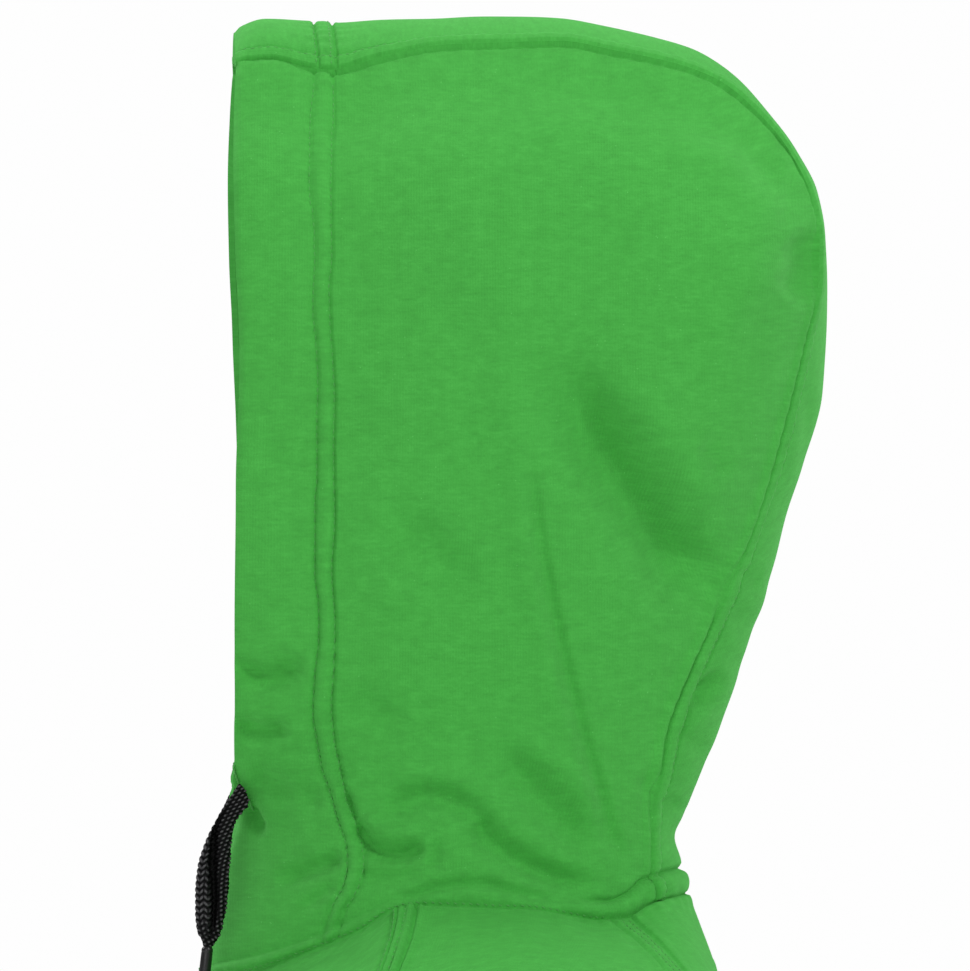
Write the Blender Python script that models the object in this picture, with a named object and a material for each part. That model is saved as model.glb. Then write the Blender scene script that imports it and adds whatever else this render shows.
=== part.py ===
"""A zip-up hooded sweatshirt, filled out as worn, with its hood up.

Metres, +Z up.  The front faces -Y and the wearer's left side is +X.  The
origin is the middle of the base of the wearer's neck.  Every cloth piece is a
wall that follows one shared garment surface, cut apart along its seams.
"""
import math

import bmesh
import bpy
from mathutils import Matrix, Vector

for old in list(bpy.data.objects):
    bpy.data.objects.remove(old, do_unlink=True)

MM = 0.001

# ---------------------------------------------------------------- sizes (mm)
FABRIC = 1.8            # brushed sweatshirt knit
HOOD_HEM = 3.2          # the hood's folded front hem, two layers
HOOD_HEM_WIDTH = 34.0   # from the opening's edge to the twin stitching
RIB = 2.4               # cuffs and hem band
SEAM_GAP = 0.5          # between two pieces at a seam
VALLEY_GAP = 0.45       # more room where they fold towards each other
ZIP_EDGE = 5.5          # half the space between the two front edges
NECK_HALF_WIDTH = 78.0
NECK_FRONT_Y, NECK_BACK_Y = -97.0, 96.0
HEM_TOP_Z, HEM_BOTTOM_Z = -605.0, -670.0
CUFF_LENGTH = 63.0
CORD_TUBE = 8.0         # the stand-in tube of the flat braid
AGLET_D, AGLET_L = 4.2, 25.0

# Where the seams leave the neck seam: degrees round it, -90 at the front.
FRONT_RAGLAN, BACK_RAGLAN, HOOD_SEAM = -10.4, 48.7, 58.7

# Cells along each piece.
N_FRONT, N_SLEEVE = 8, 12
HOOD_ROWS = (  # closer together where the large folds lie
    0.0, 0.07, 0.13, 0.19, 0.26, 0.33, 0.385, 0.44, 0.495, 0.55, 0.61, 0.69, 0.78, 0.87, 0.94, 1.0)
BACK_STEPS = (0.0, (HOOD_SEAM - BACK_RAGLAN) / (90 - BACK_RAGLAN), 0.43, 0.62, 0.81, 1.0)
YOKE_ROWS = (0.0, 0.07, 0.16, 0.27, 0.39, 0.52, 0.66, 0.79, 0.9, 1.0)
BODY_ROWS = (1.0, 1.13, 1.3, 1.48, 1.66, 1.84, 1.94, 2.0)

# The neck seam's height against its distance forwards (mm).
NECK_LINE = (  # y, z
    (-97, -24), (-72, -22), (-52, -15.5), (-42, -10), (-31, -5.6), (-20, -0.6),
    (-6, 1.6), (14, 2), (38, 2), (48, 0.2), (58, -1.6), (68, -1), (76, 1), (83, 6), (96, 8.6),
)
# The hood's middle line and its side seam, seen from the side (mm).
HOOD_LINE = (  # top/back y, z | seam y, z | seam half width
    (-85.0, 354.0, -84.4, 340.3, 43.0),
    (-72.0, 358.2, -70.5, 341.2, 43.0),
    (-55.6, 357.2, -55.4, 338.0, 43.0),
    (-46.8, 356.6, -46.8, 337.2, 43.0),
    (-26.0, 358.0, -26.8, 342.2, 43.0),
    (-2.0, 358.8, -2.0, 347.2, 43.0),
    (22.0, 359.4, 22.0, 348.2, 43.0),
    (46.0, 358.4, 44.4, 348.8, 43.5),
    (72.0, 353.6, 66.4, 345.0, 44.0),
    (98.0, 346.8, 90.0, 340.0, 44.5),
    (115.6, 336.2, 107.4, 333.4, 45.0),
    (133.0, 317.0, 128.4, 315.0, 45.0),
    (141.0, 305.2, 137.0, 303.2, 45.0),
    (148.8, 289.2, 144.6, 287.4, 45.0),
    (152.2, 270.0, 148.0, 270.0, 45.0),
    (152.8, 250.0, 147.4, 252.0, 44.5),
    (152.2, 228.0, 142.4, 232.0, 44.0),
    (150.8, 208.0, 137.6, 212.4, 43.5),
    (143.6, 181.0, 131.2, 187.2, 43.0),
    (136.8, 161.0, 123.2, 160.4, 42.5),
    (129.4, 131.0, 112.6, 133.0, 42.0),
    (121.4, 108.0, 102.4, 112.4, 0.0),
    (113.6, 84.0, 91.2, 86.0, 0.0),
    (106.8, 66.0, 87.0, 73.0, 0.0),
    (101.0, 54.0, 84.6, 57.6, 0.0),
    (95.6, 41.0, 81.6, 45.6, 0.0),
    (91.6, 31.0, 81.0, 30.8, 0.0),
    (95.2, 19.0, 81.0, 19.0, 0.0),
    (96.0, 8.6, 82.0, 5.0, 0.0),
)
HOOD_CORNER = 12        # the row of HOOD_LINE where top turns into back
# The edge of the hood's opening, seen from the side (mm).
HOOD_EDGE = (  # y, z
    (-97.0, -24.0), (-95.8, -8.0), (-93.0, 8.0), (-88.6, 32.0), (-84.4, 58.0), (-83.4, 84.0),
    (-83.6, 120.0), (-83.2, 170.0), (-83.2, 200.0), (-84.0, 236.0), (-85.2, 262.0),
    (-85.8, 296.0), (-85.2, 324.0), (-84.4, 340.3),
)
HOOD_WIDTH = (  # share of the height | half width at the opening | half width at the ears
    (0.0, 5.5, 78.0), (0.05, 10.0, 78.0), (0.12, 25.0, 80.0), (0.22, 52.0, 86.0), (0.34, 70.0, 92.0),
    (0.5, 80.0, 97.0), (0.7, 84.0, 99.0), (0.86, 84.0, 98.0), (1.0, 82.0, 95.0),
)
HOOD_FOLDS = (  # the side's largest folds: y, z of one end | y, z of the other | reach | depth
    (52.0, 208.0, 94.0, 140.0, 15.0, 4.6),
    (16.0, 132.0, 42.0, 52.0, 13.0, 2.4),
    (-12.0, 48.0, 52.0, 24.0, 11.0, 2.2),
)
HOOD_ROUND = (  # place along the side seam | how far it takes to round off (mm)
    (0.0, 27.0), (0.3, 29.0), (0.42, 26.0), (0.55, 24.0), (0.7, 36.0), (0.85, 44.0), (1.0, 44.0),
)

# The yoke, row by row from the neck seam (0) to the underarm (1), in mm:
# middle front, front raglan seam, sleeve's top line, back raglan seam, middle back.
YOKE = (
    # s, cf_y, cf_z, fs_x, fs_y, fs_z, sh_x, sh_y, sh_z, bs_x, bs_y, bs_z, cb_y, cb_z
    (0.00, -97, -24, 76.7, -18, 0, 74.8, 27, 2, 51.5, 72, 0, 96, 8.6),
    (0.12, -107, -46, 100, -22, -13, 104, 24, -7, 76, 85, -12, 105, -14),
    (0.30, -121, -82, 128, -38, -42, 143, 18, -25, 112, 103, -39, 118, -49),
    (0.50, -133, -125, 149, -66, -88, 184, 11, -50, 143, 113, -86, 128, -95),
    (0.70, -140, -168, 166, -84, -138, 226, 5, -86, 164, 107, -137, 133, -145),
    (0.86, -144, -206, 181, -72, -190, 266, 0, -133, 180, 82, -190, 133, -192),
    (1.00, -146, -240, 201, -2, -245, 313, -3, -217, 201, -2, -245, 130, -240),
)
# Directions (degrees in plan, 0 to the left side, 90 to the back) and reach of the
# rows where they cross the two raglan seams, and the sleeve top's reach.
SWEEP = (
    # s, cf_reach, f_dir, f_reach, sf_dir, s_reach, top_reach, sb_dir, b_dir, b_reach, cb_reach, lift
    (0.00, 1.55, 80, 1.50, 80, 46, 46, 132, 132, 1.4, 1.25, 1.0),
    (0.12, 1.50, 76, 1.40, 76, 50, 52, 136, 138, 1.6, 1.25, 1.0),
    (0.30, 1.45, 68, 1.30, 68, 66, 66, 138, 144, 1.8, 1.30, 1.1),
    (0.50, 1.45, 62, 1.35, 56, 96, 92, 146, 142, 2.2, 1.35, 1.1),
    (0.70, 1.55, 64, 1.50, 26, 150, 136, 170, 130, 2.0, 1.45, 0.9),
    (0.86, 1.75, 76, 1.75, -30, 220, 200, 220, 112, 1.9, 1.65, 0.5),
    (1.00, 1.90, 90, 1.90, -90, 304, 304, 270, 90, 1.9, 1.90, 0.0),
)
# The trunk below the underarm (mm).
TRUNK = (  # s, z, half width, side_y, front_y, back_y
    (1.00, -243, 201, -2, -146, 130),
    (1.10, -274, 197, -2, -147, 127),
    (1.24, -320, 198, -3, -146, 122),
    (1.48, -400, 200, -4, -142, 116),
    (1.72, -480, 201, -5, -139, 114),
    (1.90, -560, 202, -6, -138, 116),
    (2.00, -605, 193, -6, -132, 111),
)
HEM = (  # z, half width, side_y, front_y, back_y
    (-605, 193, -6, -132, 111),
    (-612, 188, -6, -129, 108),
    (-640, 187, -6, -128, 107),
    (-670, 185, -6, -127, 106),
)
# The sleeve below the underarm, and its cuff (mm).
ARM = (  # middle x, y, z | half width inwards-outwards | half depth front-back
    (257.0, -2.5, -231.0, 58, 76),
    (270.5, -5.0, -285.0, 57, 72),
    (284.0, -10.0, -350.0, 54, 67),
    (297.5, -17.0, -420.0, 50, 61),
    (310.0, -26.0, -490.0, 46, 55),
    (320.0, -36.0, -550.0, 42, 49),
    (325.0, -42.0, -583.0, 39, 45),
    (328.0, -46.0, -602.0, 34, 39),
)
CUFF = (
    (328.0, -46.0, -602.0, 34, 39),
    (329.0, -47.2, -609.0, 31, 35.5),
    (333.0, -51.5, -636.0, 30, 34),
    (337.0, -56.0, -664.0, 29, 33),
)
# The left drawcord's middle line, hanging from the hood's hem (mm).
CORD = (
    (44.6, -85.8, 50.5), (46.6, -87.9, 45.5), (47.7, -89.4, 40.0), (48.1, -90.5, 34.0),
    (48.1, -91.4, 27.5), (48.0, -92.4, 19.0), (47.8, -93.2, 9.0), (47.6, -94.0, 0.5),
    (47.5, -94.7, -8.0), (47.4, -95.1, -12.0),
)


# ------------------------------------------------------------------- helpers
def soft(t):
    t = min(1.0, max(0.0, t))
    return t * t * (3 - 2 * t)


def read(table, x, col):
    """A smooth value of one column of a table whose first column rises."""
    n = len(table)
    i = 0
    while i < n - 2 and x > table[i + 1][0]:
        i += 1
    x0, x1 = table[i][0], table[i + 1][0]
    y0, y1 = table[i][col], table[i + 1][col]
    d = (y1 - y0) / (x1 - x0)

    def slope(k):
        a = (table[k][col] - table[k - 1][col]) / (table[k][0] - table[k - 1][0])
        b = (table[k + 1][col] - table[k][col]) / (table[k + 1][0] - table[k][0])
        return 0.0 if a * b <= 0 else 2 * a * b / (a + b)

    m0 = slope(i) if i > 0 else d
    m1 = slope(i + 1) if i + 2 < n else d
    t = min(1.0, max(0.0, (x - x0) / (x1 - x0)))
    h = x1 - x0
    return (
        (2 * t**3 - 3 * t**2 + 1) * y0 + (t**3 - 2 * t**2 + t) * h * m0
        + (3 * t**2 - 2 * t**3) * y1 + (t**3 - t**2) * h * m1
    )


def hermite(p0, t0, p1, t1, t):
    a, b = 2 * t**3 - 3 * t**2 + 1, t**3 - 2 * t**2 + t
    c, d = 3 * t**2 - 2 * t**3, t**3 - t**2
    return Vector([a * p0[i] + b * t0[i] + c * p1[i] + d * t1[i] for i in range(3)])


def by_length(points):
    """Rows of a table again, each with its share of the length as first column."""
    run, rows = 0.0, []
    for k, p in enumerate(points):
        if k:
            run += math.dist(p[:2], points[k - 1][:2])
        rows.append([run, *p])
    return [tuple([r[0] / run, *r[1:]]) for r in rows]


# --------------------------------------------------------------- the surface
def neck(deg):
    """A point of the neck seam, left half."""
    mid, reach = (NECK_FRONT_Y + NECK_BACK_Y) / 2, (NECK_BACK_Y - NECK_FRONT_Y) / 2
    a = math.radians(deg)
    y = mid + reach * math.sin(a)
    return Vector((NECK_HALF_WIDTH * math.cos(a), y, read(NECK_LINE, y, 1)))


NECK_START = -math.degrees(math.acos(ZIP_EDGE / NECK_HALF_WIDTH))
SEAM_X_AT_NECK = neck(HOOD_SEAM).x
SEAM_ROWS = by_length([(r[2], r[3], r[0], r[1], r[4] or SEAM_X_AT_NECK) for r in HOOD_LINE])
# the seam ends on the neck seam itself
_end = neck(HOOD_SEAM)
SEAM_ROWS[-1] = (1.0, _end.y, _end.z, *SEAM_ROWS[-1][3:])
EDGE_ROWS = by_length(HOOD_EDGE)
CORNER = SEAM_ROWS[HOOD_CORNER][0]
SEAM_DENSE = [
    (k / 240, read(SEAM_ROWS, k / 240, 1), read(SEAM_ROWS, k / 240, 2)) for k in range(241)
]


def off_line(y, z, ends):
    """How far a place is from a straight fold line, seen from the side."""
    ay, az, by, bz = ends
    t = ((y - ay) * (by - ay) + (z - az) * (bz - az)) / ((by - ay) ** 2 + (bz - az) ** 2)
    t = min(1.0, max(0.0, t))
    return math.hypot(y - ay - t * (by - ay), z - az - t * (bz - az))


def hood_side(u, v):
    """A point of the hood's left side: u from the opening back, v up."""
    deg = NECK_START + (HOOD_SEAM - NECK_START) * u
    base = neck(deg)

    def flat(rows, at):
        return (read(rows, at, 1), read(rows, at, 2))

    lo, up = (base.y, base.z), flat(SEAM_ROWS, CORNER * u)
    fr, bk = flat(EDGE_ROWS, v), flat(SEAM_ROWS, 1 - (1 - CORNER) * v)
    c00, c10 = flat(EDGE_ROWS, 0), flat(SEAM_ROWS, 1)
    c01, c11 = flat(EDGE_ROWS, 1), flat(SEAM_ROWS, CORNER)
    y, z = [
        (1 - v) * lo[i] + v * up[i] + (1 - u) * fr[i] + u * bk[i]
        - (1 - u) * (1 - v) * c00[i] - u * (1 - v) * c10[i]
        - (1 - u) * v * c01[i] - u * v * c11[i]
        for i in (0, 1)
    ]
    q, d = min(
        ((s, math.hypot(y - sy, z - sz)) for s, sy, sz in SEAM_DENSE), key=lambda r: r[1]
    )
    if u > 0.9999 or v > 0.9999:
        q, d = (1 - (1 - CORNER) * v if u > 0.9999 else CORNER * u), 0.0
    wide = read(HOOD_WIDTH, v, 1) + (read(HOOD_WIDTH, v, 2) - read(HOOD_WIDTH, v, 1)) * soft(u / 0.5)
    at_seam = read(SEAM_ROWS, q, 5)
    x = wide - (wide - at_seam) * math.exp(-d / read(HOOD_ROUND, q, 1))
    k = soft(v / 0.3)
    x -= (1 - math.exp(-((d / 12) ** 2))) * sum(
        deep * math.exp(-((off_line(y, z, row) / reach) ** 2))
        for *row, reach, deep in HOOD_FOLDS)
    return Vector(((1 - k) * base.x + k * x, y, z))


def hood_middle(q, j):
    """A point of the hood's centre strip: q from the opening to the neck, j -1 to 1."""
    sy, sz, my, mz, w = [read(SEAM_ROWS, q, c) for c in (1, 2, 3, 4, 5)]
    deep = max(1.0, math.hypot(my - sy, mz - sz))
    half = 2 * math.atan(deep / w)
    drop = (1 - math.cos(half * j)) / (1 - math.cos(half))
    x = w * math.sin(half * j) / math.sin(half)
    return Vector((x, my + (sy - my) * drop, mz + (sz - mz) * drop))


def section(row, part, t):
    """A point of a level section of the trunk: part 'front' runs from the middle
    front to the side, part 'back' from the side to the middle back."""
    z, wide, side, front, back = row
    side_p = (wide, side, z - 2.0)
    if part == "front":
        deep = side - front
        return hermite((0, front, z + 3.0), (1.9 * wide, 0, 0), side_p, (0, 1.9 * deep, -6.0), t)
    deep = back - side
    return hermite(side_p, (0, 1.9 * deep, 4.0), (0, back, z + 2.0), (-1.9 * wide, 0, 0), t)


def yoke_raw(s, part, t):
    k = {n: read(YOKE, s, i) for i, n in enumerate(
        "s cf_y cf_z fs_x fs_y fs_z sh_x sh_y sh_z bs_x bs_y bs_z cb_y cb_z".split()) if i}
    w = {n: read(SWEEP, s, i) for i, n in enumerate(
        "s cf f_dir f sf_dir s_reach top sb_dir b_dir b cb lift".split()) if i}
    fs, bs = (k["fs_x"], k["fs_y"], k["fs_z"]), (k["bs_x"], k["bs_y"], k["bs_z"])
    sh = (k["sh_x"], k["sh_y"], k["sh_z"])

    def way(deg, reach, rise):
        a = math.radians(deg)
        return (reach * math.cos(a), reach * math.sin(a), rise)

    if part == "front":
        cf = (0, k["cf_y"], k["cf_z"])
        return hermite(cf, (w["cf"] * fs[0], 0, 0), fs,
                       way(w["f_dir"], w["f"] * (fs[1] - cf[1]), 1.3 * (fs[2] - cf[2])), t)
    if part == "back":
        cb = (0, k["cb_y"], k["cb_z"])
        reach = w["b"] * max(abs(cb[1] - bs[1]), 14.0)
        return hermite(bs, way(w["b_dir"], reach, 1.2 * w["lift"] * (cb[2] - bs[2])), cb,
                       (-w["cb"] * bs[0], 0, 0), t)
    if t <= 0.5:
        return hermite(fs, way(w["sf_dir"], w["s_reach"], 1.3 * w["lift"] * (sh[2] - fs[2])), sh,
                       (0, w["top"], 0), 2 * t)
    return hermite(sh, (0, w["top"], 0), bs,
                   way(w["sb_dir"], w["s_reach"], 1.3 * w["lift"] * (bs[2] - sh[2])), 2 * t - 1)


NECK_SPAN = {
    "front": (-90.0, FRONT_RAGLAN), "sleeve": (FRONT_RAGLAN, BACK_RAGLAN), "back": (BACK_RAGLAN, 90.0),
}


def body(s, part, t):
    """A point of the garment below the neck seam, left half."""
    if s > 1.0:
        row = [read(TRUNK, s, c) for c in (1, 2, 3, 4, 5)]
        return section(row, part, t)
    lo, hi = NECK_SPAN[part]
    p = yoke_raw(s, part, t)
    if s < 0.6:
        p += (neck(lo + (hi - lo) * t) - yoke_raw(0.0, part, t)) * (1 - s / 0.6) ** 3
    if s > 0.7 and part != "sleeve":
        row = [read(TRUNK, 1.0, c) for c in (1, 2, 3, 4, 5)]
        p += (section(row, part, t) - yoke_raw(1.0, part, t)) * soft((s - 0.7) / 0.3)
    elif s > 0.7:
        side = section([read(TRUNK, 1.0, c) for c in (1, 2, 3, 4, 5)], "front", 1.0)
        near = math.cos(math.pi * t) ** 4
        p += (side - yoke_raw(1.0, "front", 1.0)) * soft((s - 0.7) / 0.3) * near
    return p


def at_x(fn, x):
    """The place along a row of the front where it has reached x."""
    lo, hi = 0.0, 0.5
    for _ in range(40):
        mid = (lo + hi) / 2
        lo, hi = (mid, hi) if fn(mid).x < x else (lo, mid)
    return (lo + hi) / 2


def arm_ring(rows, k, t):
    """A point of a ring round the arm: t runs 0 to 1 from the underarm round the front."""
    x, y, z, a, b = rows[k]
    before, after = rows[max(0, k - 1)], rows[min(len(rows) - 1, k + 1)]
    axis = (Vector(after[:3]) - Vector(before[:3])).normalized()
    out = (Vector((1, 0, 0)) - axis * axis.x).normalized()
    back = axis.cross(out)
    if back.y < 0:
        back = -back
    ang = 2 * math.pi * t
    return Vector((x, y, z)) - out * a * math.cos(ang) - back * b * math.sin(ang)


# --------------------------------------------------------- grids of the panels
panels = {}     # name -> list of faces, each a list of points in mm


def grid(name, rows, wrap=False, flip=False):
    faces = panels.setdefault(name, [])
    for a, b in zip(rows, rows[1:]):
        n = len(a)
        for i in range(n if wrap else n - 1):
            j = (i + 1) % n
            quad = [a[i], a[j], b[j], b[i]]
            faces.append(quad[::-1] if flip else quad)


def mirrored(points):
    return [Vector((-p.x, p.y, p.z)) for p in points]


def both(base, rows, wrap=False, flip=False):
    grid(base + "_left", rows, wrap, flip)
    grid(base + "_right", [mirrored(r) for r in rows], wrap, not flip)


def front_row(fn):
    t0 = at_x(fn, ZIP_EDGE)
    return [fn(t0 + (1 - t0) * i / N_FRONT) for i in range(N_FRONT + 1)]


def neck_front(i):
    """The neck seam's own points along the front."""
    return neck(NECK_START + (FRONT_RAGLAN - NECK_START) * i / N_FRONT)


# fronts
front_rows = []
for s in YOKE_ROWS[:-1] + BODY_ROWS:
    row = front_row(lambda t: body(s, "front", t))
    if s == 0:
        row = [neck_front(i) for i in range(N_FRONT + 1)]
    front_rows.append(row)
both("front", front_rows, flip=True)

# back, whole: from the left side to the right side
back_rows = []
for s in YOKE_ROWS[:-1] + BODY_ROWS:
    half = [body(s, "back", t) for t in BACK_STEPS]
    back_rows.append(half + mirrored(half[-2::-1]))
grid("back", back_rows, flip=True)

# sleeves: the cap from seam to seam, then the arm's rings
cap_rows = [[body(s, "sleeve", i / N_SLEEVE) for i in range(N_SLEEVE + 1)] for s in YOKE_ROWS]
under = front_rows[len(YOKE_ROWS) - 1][-1]
cap_rows[-1][0] = cap_rows[-1][-1] = under
for r, row in enumerate(cap_rows[:-1]):
    row[0], row[-1] = front_rows[r][-1], back_rows[r][0]
both("sleeve", cap_rows, flip=True)
ring0 = cap_rows[-1][:-1]
arm_rows = [ring0] + [
    [arm_ring(ARM, k, i / N_SLEEVE) for i in range(N_SLEEVE)] for k in range(1, len(ARM))
]
both("sleeve", arm_rows, wrap=True, flip=True)
cuff_rows = [arm_rows[-1]] + [
    [arm_ring(CUFF, k, i / N_SLEEVE) for i in range(N_SLEEVE)] for k in range(1, len(CUFF))
]
both("cuff", cuff_rows, wrap=True, flip=True)

# hem band, from zip to zip round the back
hem_rows = []
for row in HEM:
    fn = lambda t, row=row: section(row, "front", t)
    a = front_row(fn)
    b = [section(row, "back", t) for t in BACK_STEPS]
    half = a + b[1:]
    hem_rows.append(half + mirrored(half[-2::-1]))
grid("hem_band", hem_rows, flip=True)

# hood sides and centre strip
us = [
    (d - NECK_START) / (HOOD_SEAM - NECK_START)
    for d in [NECK_START + (FRONT_RAGLAN - NECK_START) * i / N_FRONT for i in range(N_FRONT)]
    + [FRONT_RAGLAN + (BACK_RAGLAN - FRONT_RAGLAN) * i / N_SLEEVE for i in range(N_SLEEVE + 1)]
    + [HOOD_SEAM]
]
vs = list(HOOD_ROWS)
side_rows = [[hood_side(u, v) for u in us] for v in vs]
for i, u in enumerate(us):      # the bottom row is the neck seam's own points
    side_rows[0][i] = neck(NECK_START + (HOOD_SEAM - NECK_START) * u)
both("hood", side_rows)

along = [CORNER * u for u in us] + [1 - (1 - CORNER) * v for v in vs[-2::-1]]
strip_rows = [[hood_middle(q, -1 + j / 3) for j in range(7)] for q in along]
top_points = side_rows[-1] + [r[-1] for r in side_rows[-2::-1]]
for row, p in zip(strip_rows, top_points):
    row[-1], row[0] = p, Vector((-p.x, p.y, p.z))
last = [neck(d) for d in [BACK_RAGLAN + (90 - BACK_RAGLAN) * t for t in BACK_STEPS[1:]]]
# the strip's end follows the neck seam with the back panel's own points
strip_rows[-1] = [None] * 7
whole = mirrored(last[:1]) + mirrored(last[1:-1]) + [last[-1]] + last[-2::-1]
hood_name = "hood_centre"
body_rows = strip_rows[:-1]
grid(hood_name, body_rows)
# a closing row of triangles and quads between seven points and nine
a, b = body_rows[-1], whole
i = j = 0
while i < len(a) - 1 or j < len(b) - 1:
    if i < len(a) - 1 and j < len(b) - 1 and abs((i + 1) / 6 - (j + 1) / 8) < 0.05:
        panels[hood_name].append([a[i], a[i + 1], b[j + 1], b[j]])
        i, j = i + 1, j + 1
    elif j < len(b) - 1 and (i == len(a) - 1 or (j + 1) / 8 < (i + 1) / 6):
        panels[hood_name].append([a[i], b[j + 1], b[j]])
        j += 1
    else:
        panels[hood_name].append([a[i], a[i + 1], b[j]])
        i += 1


# --------------------------------------------------------------------- walls
def key(p):
    return (round(p[0], 3), round(p[1], 3), round(p[2], 3))


shared = {}
for name, faces in panels.items():
    for f in faces:
        n = (f[1] - f[0]).cross(f[2] - f[0])
        if len(f) == 4:
            n += (f[2] - f[0]).cross(f[3] - f[0])
        for p in f:
            shared.setdefault(key(p), []).append(n)


def material(name, colour, rough, metal=0.0):
    m = bpy.data.materials.new(name)
    m.use_nodes = True
    b = m.node_tree.nodes["Principled BSDF"]
    b.inputs["Base Color"].default_value = (*colour, 1)
    b.inputs["Roughness"].default_value = rough
    b.inputs["Metallic"].default_value = metal
    return m


def finish(name, mesh, mat, angle=40):
    ob = bpy.data.objects.new(name, mesh)
    bpy.context.scene.collection.objects.link(ob)
    mesh.materials.append(mat)
    mesh.shade_smooth()
    mesh.set_sharp_from_angle(angle=math.radians(angle))
    return ob


def cloth(name, thick, mat):
    """A wall: the panel's faces outside, the same faces moved in, and rims between."""
    index, pts, faces = {}, [], []
    for f in panels[name]:
        ids = []
        for p in f:
            k = key(p)
            if k not in index:
                index[k] = len(pts)
                pts.append(Vector(p))
            if not ids or ids[-1] != index[k]:
                ids.append(index[k])
        if len(ids) > 1 and ids[0] == ids[-1]:
            ids.pop()
        if len(ids) > 2:
            faces.append(ids)
    used = {}
    for f in faces:
        for a, b in zip(f, f[1:] + f[:1]):
            used[(a, b)] = f
    rim = [(a, b) for (a, b) in used if (b, a) not in used]
    # pull the rim in by half the seam gap
    pull = {}
    for a, b in rim:
        f = used[(a, b)]
        mid = (pts[a] + pts[b]) / 2
        c = sum((pts[i] for i in f), Vector((0, 0, 0))) / len(f)
        e = (pts[b] - pts[a]).normalized()
        d = c - mid
        d = (d - e * d.dot(e)).normalized()
        pull.setdefault(a, []).append(d)
        pull.setdefault(b, []).append(d)
    moved = list(pts)
    for i, ds in pull.items():
        if len(ds) == 2:
            step = (ds[0] + ds[1]) / max(0.35, 1 + ds[0].dot(ds[1]))
        else:
            step = sum(ds, Vector((0, 0, 0))) / len(ds)
        moved[i] = pts[i] + step * SEAM_GAP / 2
    own = [Vector((0, 0, 0)) for _ in pts]
    for f in faces:
        for k in range(1, len(f) - 1):
            n = (pts[f[k]] - pts[f[0]]).cross(pts[f[k + 1]] - pts[f[0]])
            for i in f:
                own[i] += n
    inner = []
    for i, p in enumerate(pts):
        n = sum(shared[key(p)], Vector((0, 0, 0))).normalized()
        if i in pull:
            # where two pieces meet in a valley each wall keeps its own direction
            # and stands a little back from the other
            d = sum(pull[i], Vector((0, 0, 0))).normalized()
            valley = d.dot(n)
            if valley > 0.08:
                mine = own[i].normalized()
                near = [m for m in shared[key(p)] if m.length and m.normalized().dot(mine) > 0.3]
                n = sum(near, Vector((0, 0, 0))).normalized()
                moved[i] = moved[i] - n * VALLEY_GAP * min(1.0, valley)
        inner.append(moved[i] - n * thick(p))
    n = len(pts)
    bm = bmesh.new()
    vs = [bm.verts.new(p * MM) for p in moved + inner]
    for f in faces:
        bm.faces.new([vs[i] for i in f])
        bm.faces.new([vs[i + n] for i in reversed(f)])
    for a, b in rim:
        bm.faces.new([vs[b], vs[a], vs[a + n], vs[b + n]])
    mesh = bpy.data.meshes.new(name)
    bmesh.ops.triangulate(bm, faces=bm.faces[:])
    bm.to_mesh(mesh)
    bm.free()
    return finish(name, mesh, mat)


def hem_thick(p):
    """Thicker in the hood's folded front hem."""
    edge = min(
        math.hypot(p.y - read(EDGE_ROWS, k / 60, 1), p.z - read(EDGE_ROWS, k / 60, 2))
        for k in range(61)
    )
    return FABRIC + (HOOD_HEM - FABRIC) * (1 - soft((edge - HOOD_HEM_WIDTH) / 5))


knit = material("knit", (0.075, 0.42, 0.075), 0.9)
rib_knit = material("rib_knit", (0.07, 0.40, 0.07), 0.9)
tape = material("zip_tape", (0.06, 0.36, 0.06), 0.85)
teeth = material("zip_teeth", (0.10, 0.45, 0.10), 0.4)
metal = material("zip_metal", (0.55, 0.55, 0.55), 0.3, 1.0)
braid = material("cord_braid", (0.012, 0.012, 0.012), 0.8)
tip = material("cord_tip", (0.02, 0.02, 0.02), 0.3)

for side in ("left", "right"):
    cloth("hood_" + side, hem_thick, knit)
    cloth("front_" + side, lambda p: FABRIC, knit)
    cloth("sleeve_" + side, lambda p: FABRIC, knit)
    cloth("cuff_" + side, lambda p: RIB, rib_knit)
cloth("hood_centre", hem_thick, knit)
cloth("back", lambda p: FABRIC, knit)
cloth("hem_band", lambda p: RIB, rib_knit)


# ----------------------------------------------------------------------- zip
ZIP_ROWS = tuple(0.012 + k * (0.988 / 9) for k in range(10)) + BODY_ROWS[1:]


def zip_stations():
    """Rows down the middle front: a function of t, one for each station."""
    out = [(lambda t, s=s: body(s, "front", t)) for s in ZIP_ROWS]
    out += [(lambda t, row=row: section(row, "front", t)) for row in HEM[1:]]
    return out


def normal_at(stations, k, t):
    fn = stations[k]
    up, down = stations[max(0, k - 1)], stations[min(len(stations) - 1, k + 1)]
    across = fn(t + 0.01) - fn(max(0.0, t - 0.01))
    along_z = down(t) - up(t)
    n = across.cross(along_z)
    if n.y > 0:
        n = -n
    return n.normalized()


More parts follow.
